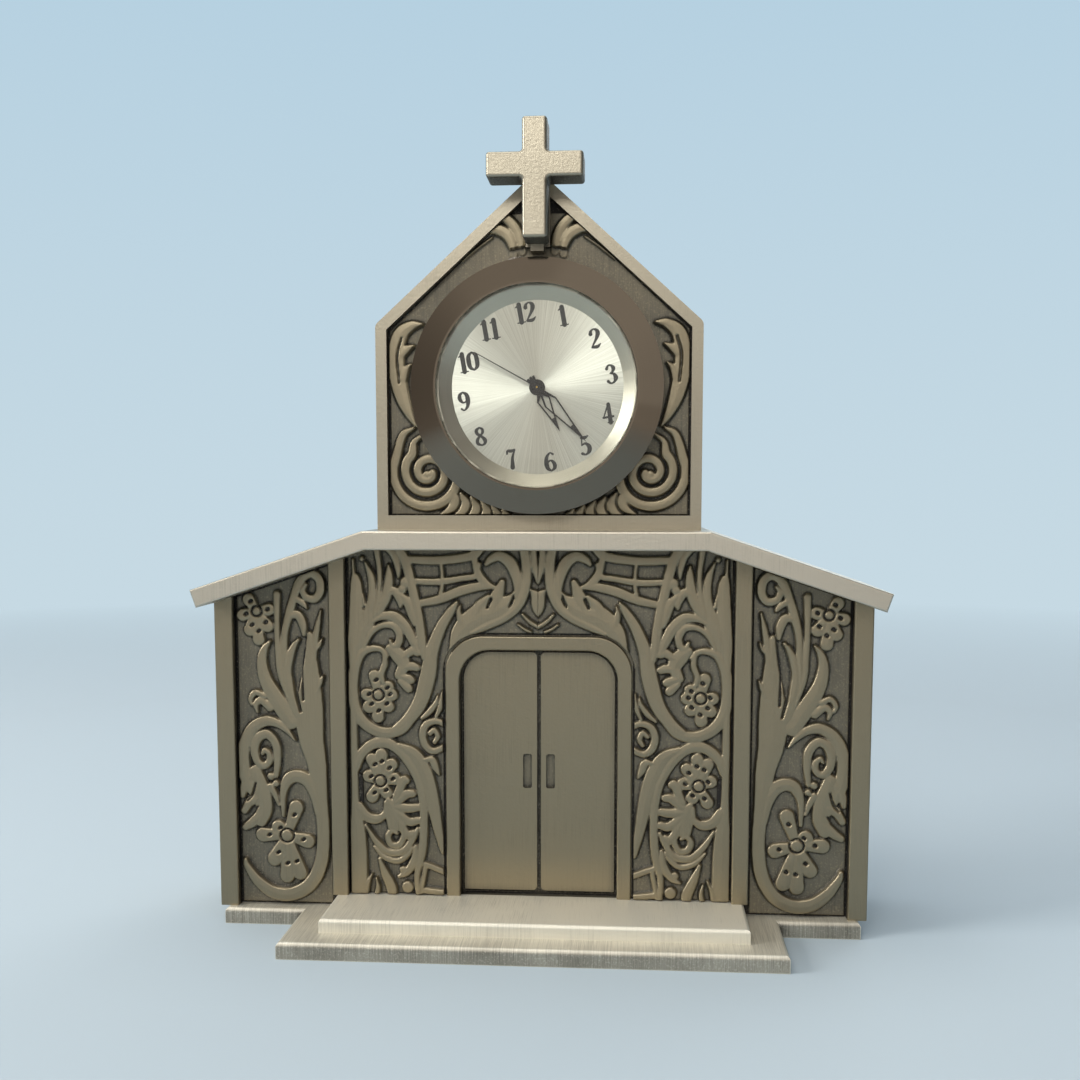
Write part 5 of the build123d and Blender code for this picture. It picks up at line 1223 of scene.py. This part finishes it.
class ClockDialSettings(bpy.types.PropertyGroup):
    numeral_height: length_setting("Numeral height", "Height of a printed numeral", 2.05 * MM)
    numeral_radius: length_setting("Numeral radius", "From the dial's middle to a numeral's", 8.05 * MM)
    numeral_weight: number_setting("Numeral weight", "Boldness of the strokes", 1.45)
    print_depth: length_setting("Print depth", "Thickness of the printing ink", 0.012 * MM)
    crown_ridges: bpy.props.IntProperty(
        name="Crown ridges", description="Ridges round the crown", default=26, min=3
    )
    crown_radius: length_setting("Crown radius", "From the crown's axis to its ridges", 0.77 * MM)
    crown_ridge: length_setting("Ridge radius", "Half a ridge's width", 0.055 * MM)
    crown_length: length_setting("Ridge length", "Length of a ridge along the crown", 1.1 * MM)


class ClockStageSettings(bpy.types.PropertyGroup):
    floor_colour: colour_setting("Floor colour", "The paper the clock stands on", "#aeb9bf")
    haze_colour: colour_setting("Haze colour", "The paper behind the clock, low down", "#c6d9e3")
    wall_colour: colour_setting("Wall colour", "The paper behind the clock, high up", "#a9cadf")
    room_colour: colour_setting("Room colour", "The room that the clock's metal mirrors", "#e2d9d0")
    room_shade: colour_setting("Room shade", "The sides of that room", "#42362f")
    floor_radius: length_setting("Floor radius", "Flat part of the paper", 0.45)
    bend_radius: length_setting("Bend radius", "Curve from floor to wall", 0.45)
    wall_height: length_setting("Wall height", "Height of the paper all round", 1.1)
    haze_start: length_setting("Haze start", "From the clock to where the paper starts to fade", 0.18)
    haze_height: length_setting("Haze height", "Where the wall's colour is full", 0.75)
    key_power: number_setting("Key lamp", "Lamp high at the front", 1.5, unit="POWER")
    fill_power: number_setting("Fill lamp", "Lamp at the front right", 0.26, unit="POWER")
    side_power: number_setting("Side lamp", "Lamp on the left", 2.4, unit="POWER")
    front_power: number_setting("Front lamp", "Lamp behind the camera", 0.46, unit="POWER")
    top_power: number_setting("Top lamp", "Lamp overhead", 0.7, unit="POWER")
    back_power: number_setting("Back lamp", "Lamp behind", 0.7, unit="POWER")
    world_strength: number_setting("World", "Light from above the paper", 0.6)
    lens: number_setting("Lens", "Focal length", 41.73, unit="CAMERA")
    sensor_width: number_setting("Sensor", "Width of the camera's sensor", 36.0, unit="CAMERA")
    clip_start: length_setting("Clip start", "From the camera to what it starts to see", 0.005)
    camera_shift: number_setting("Shift", "Upward shift of the lens", 0.07)
    camera_pitch: number_setting("Pitch", "Camera's tilt", -0.0971, subtype="ANGLE")
    camera_yaw: number_setting("Yaw", "Camera's turn", 0.0759, subtype="ANGLE")
    camera_place: bpy.props.FloatVectorProperty(
        name="Camera",
        description="Where the camera stands",
        default=(0.01061, -0.13731, 0.04857),
        subtype="TRANSLATION",
    )


# Operators

class CarveWings(bpy.types.Operator):
    """Carve the narrow panels beside the pilasters"""

    bl_idname = "clock.carve_wings"
    bl_label = "Carve the wings"

    def execute(self, context):
        carve_both_sides("wing_carving", wing_panel(), nave_ground, nave_buried)
        return {"FINISHED"}


class CarveNave(bpy.types.Operator):
    """Carve the wide panel round the door"""

    bl_idname = "clock.carve_nave"
    bl_label = "Carve the nave"

    def execute(self, context):
        carve_both_sides("nave_carving", nave_panel(), nave_ground, nave_buried)
        return {"FINISHED"}


class CarveTower(bpy.types.Operator):
    """Carve the tower's panel round the clock"""

    bl_idname = "clock.carve_tower"
    bl_label = "Carve the tower"

    def execute(self, context):
        carve_both_sides("tower_carving", tower_panel(), tower_ground, tower_buried)
        return {"FINISHED"}


class FinishCastings(bpy.types.Operator):
    """Age the castings, steps, roof and cross"""

    bl_idname = "clock.finish_castings"
    bl_label = "Finish the castings"

    def execute(self, context):
        colours = context.scene.clock_finish
        strip, step = tuple(colours.strip_metal), tuple(colours.step_metal)

        # Cast zinc, antiqued and rubbed by hand: painted near black as shade deep in the sunk panels, a warm
        # grey wall, and bright lines where the edges are rubbed
        nave_dark = (strip_edge, facade + nave_dark_from)
        nave = finish("antique_zinc_nave", cast_metal, tuple(colours.worn_metal), panel=nave_dark)
        dress(["nave_casting"], nave)
        tower_dark = (tower_strip_edge, facade + tower_dark_from, True)
        dress(["tower_casting"], finish("antique_zinc_tower", cast_metal, strip, panel=tower_dark))

        # The roof is brushed, and painted the palest as the wall the light falls on most; the cross is
        # painted bright in front as lit, and dark aside as shaded
        dress(["roof_plate"], finish("antique_zinc_roof", cast_metal, tuple(colours.bright_metal)))
        dress(["cross"], finish("antique_zinc_cross", cast_metal, strip, facing=("Y", 0.3)))

        # The steps were brushed from back to front: streaked and duller than the walls, and painted pale as
        # lit from above, the base's top faces painted brighter as lit and its front darker as shaded
        brushed = {"rough": (0.5, 0.62), "brushing": step_marks, "flecked": 0.12}
        base = {"rubbed": 0.72, "metal": (0.5, 0.7), "facing": ("Z", 0.66)} | brushed
        dress(["base_plate"], finish("antique_zinc_base", cast_metal, step, **base))
        upper = {"rubbed": 0.78, "metal": (0.35, 0.55)} | brushed
        dress(["upper_step"], finish("antique_zinc_step", cast_metal, step, **upper))

        # Sheet steel under grey lacquer: even, with the fine orange skin of a sprayed coat
        lacquer = {"size": 0.25, "mottle": 0.1, "depth": 0.004}
        covers = finish("grey_lacquered_steel", plain_surface, linear("#6f6d68"), 0.6, 0.5, **lacquer)
        dress(["nave_back_cover", "tower_back_cover"], covers)

        # Zinc plating: a bluish white, bright but not a mirror
        screws = finish("zinc_plated_steel_screws", plain_surface, linear("#b9bcc0"), 1.0, 0.32, size=0.15)
        dress(["cover_screws", "base_screws", "tower_screws"], screws)
        return {"FINISHED"}


class FinishInsert(bpy.types.Operator):
    """Polish the bezel and ring, glaze the front and brush the dial"""

    bl_idname = "clock.finish_insert"
    bl_label = "Finish the insert"

    def execute(self, context):
        # Brass, nickel plated dark and polished: a mirror for the room, with hardly a mark in it
        fine = {"ring": 0.06, "depth": 0.0005}
        nickel = finish("polished_nickel_bezel", turned_metal, linear("#736b5f"), 0.08, **fine)
        dress(["bezel"], nickel)

        # Satin steel: a soft bright band that takes the light all round the dial
        satin = finish("satin_steel_ring", turned_metal, linear("#d6cfc0"), 0.34, ring=0.1, depth=0.0001)
        dress(["reflector_ring"], satin)

        # Steel, stamped and turned: grey, with rings that draw the light into a streak
        stamped = finish("stamped_steel_case", turned_metal, linear("#c2c0bb"), 0.3, ring=0.15, depth=0.002)
        dress(["insert_case", "insert_case_back"], stamped)
        dress(["glass"], finish("mineral_glass", clear_glass))
        dress(["dial"], finish("sunburst_silver", sunburst_silver))

        # Brass, blackened with nickel: nearly black, with a glint on its edges
        grained = {"size": 0.1, "mottle": 0.2}
        black = finish("black_nickel_hands", plain_surface, linear("#1d1c1b"), 0.7, 0.28, **grained)
        dress(["hour_hand", "minute_hand", "second_hand"], black)
        return {"FINISHED"}


class NumberDial(bpy.types.Operator):
    """Print the twelve numerals on the dial"""

    bl_idname = "clock.number_dial"
    bl_label = "Number the dial"

    def execute(self, context):
        number_dial()
        return {"FINISHED"}


class RidgeCrown(bpy.types.Operator):
    """Stand grip ridges round the crown"""

    bl_idname = "clock.ridge_crown"
    bl_label = "Ridge the crown"

    def execute(self, context):
        dress(["crown", "stem"], ridge_crown())
        return {"FINISHED"}


class FinishMovement(bpy.types.Operator):
    """Give each part inside the insert its own metal or plastic"""

    bl_idname = "clock.finish_movement"
    bl_label = "Finish the movement"

    def execute(self, context):
        brass = tuple(context.scene.clock_finish.brass)

        # After each colour stand how metallic and how rough it is
        finishes = (
            # Nylon, moulded with ribs: a dull black
            (["grip_ring"], "black_nylon_grip", linear("#1b1b1c"), 0.0, 0.5, {"size": 0.3}),

            # Acetal, moulded: a warm white with a waxy sheen
            (["movement_holder"], "white_acetal_holder", linear("#d9d6cd"), 0.0, 0.45,
             {"mottle": 0.05}),

            # Rolled brass, ground one way: its lines stretch the light, and are drawn coarser than real
            (["mainplate", "train_bridge"], "brass_plate", brass, 1.0, 0.34,
             {"size": 0.08, "mottle": 0.15, "stretch": (12.0, 1.0, 1.0)}),

            # Brass, stamped and tumbled: yellow, bright, without a direction
            (["centre_wheel", "minute_wheel", "fourth_wheel", "third_wheel", "fifth_wheel", "hour_wheel"],
             "stamped_brass_wheel", brass, 1.0, 0.3, {"size": 0.1}),

            # Acetal, moulded round a magnet: a dull, dark blue grey
            (["rotor"], "dark_acetal_rotor", linear("#3a3b40"), 0.0, 0.4, {"size": 0.2}),

            # Copper wire under lacquer, wound turn by turn: a red brown with a line for each turn
            (["coil"], "lacquered_copper_wire", linear("#b4643a"), 0.9, 0.32,
             {"size": 0.06, "mottle": 0.35, "depth": 0.01, "stretch": (1.0, 40.0, 40.0)}),

            # Soft iron, rolled: grey, with the roll's lines along it
            (["stator"], "rolled_iron_sheet", linear("#a3a5a8"), 1.0, 0.36,
             {"size": 0.1, "stretch": (10.0, 1.0, 1.0)}),

            # Glass and resin under green lacquer: its tracks show as darker patches
            (["circuit_board"], "green_circuit_board", linear("#1f5a3c"), 0.0, 0.38,
             {"size": 0.6, "mottle": 0.2}),

            # Steel, nickel plated: a pale, smooth shine
            (["cell"], "nickel_plated_cell", linear("#cfd0cf"), 1.0, 0.22, {"size": 0.2}),

            # Spring steel, hardened and polished: a hard grey shine
            (["cell_clip", "setting_lever", "movement_screws"], "spring_steel", linear("#b7b8b8"), 1.0,
             0.28, {"size": 0.1}),
        )
        for pieces, name, colour, metallic, roughness, pattern in finishes:
            dress(pieces, finish(name, plain_surface, colour, metallic, roughness, **pattern))
        return {"FINISHED"}


class SetStage(bpy.types.Operator):
    """Set the paper, the lamps and the camera"""

    bl_idname = "clock.set_stage"
    bl_label = "Set the stage"

    def execute(self, context):
        stage_bowl()
        set_lamps()
        set_world()
        set_camera()
        context.scene.view_settings.view_transform = "Standard"
        return {"FINISHED"}


OPERATORS = (
    CarveWings,
    CarveNave,
    CarveTower,
    FinishCastings,
    FinishInsert,
    NumberDial,
    RidgeCrown,
    FinishMovement,
    SetStage,
)


class ClockPanel(bpy.types.Panel):
    """The steps that dress the clock"""

    bl_idname = "VIEW3D_PT_steeple_clock"
    bl_label = "Steeple clock"
    bl_space_type = "VIEW_3D"
    bl_region_type = "UI"
    bl_category = "Steeple clock"

    def draw(self, context):
        for operator in OPERATORS:
            self.layout.operator(operator.bl_idname)
        for settings in (context.scene.clock_finish, context.scene.clock_dial, context.scene.clock_stage):
            column = self.layout.column()
            for name in settings.__annotations__:
                column.prop(settings, name)


SETTINGS = {
    "clock_finish": ClockFinishSettings,
    "clock_dial": ClockDialSettings,
    "clock_stage": ClockStageSettings,
}


def register():
    for group in SETTINGS.values():
        bpy.utils.register_class(group)
    for operator in OPERATORS:
        bpy.utils.register_class(operator)
    bpy.utils.register_class(ClockPanel)
    for name, group in SETTINGS.items():
        setattr(bpy.types.Scene, name, bpy.props.PointerProperty(type=group))


def unregister():
    for name in SETTINGS:
        delattr(bpy.types.Scene, name)
    bpy.utils.unregister_class(ClockPanel)
    for operator in reversed(OPERATORS):
        bpy.utils.unregister_class(operator)
    for group in reversed(SETTINGS.values()):
        bpy.utils.unregister_class(group)


def main():
    register()
    bpy.ops.clock.carve_wings()
    bpy.ops.clock.carve_nave()
    bpy.ops.clock.carve_tower()
    bpy.ops.clock.finish_castings()
    bpy.ops.clock.finish_insert()
    bpy.ops.clock.number_dial()
    bpy.ops.clock.ridge_crown()
    bpy.ops.clock.finish_movement()
    bpy.ops.clock.set_stage()


if __name__ == "__main__":
    main()
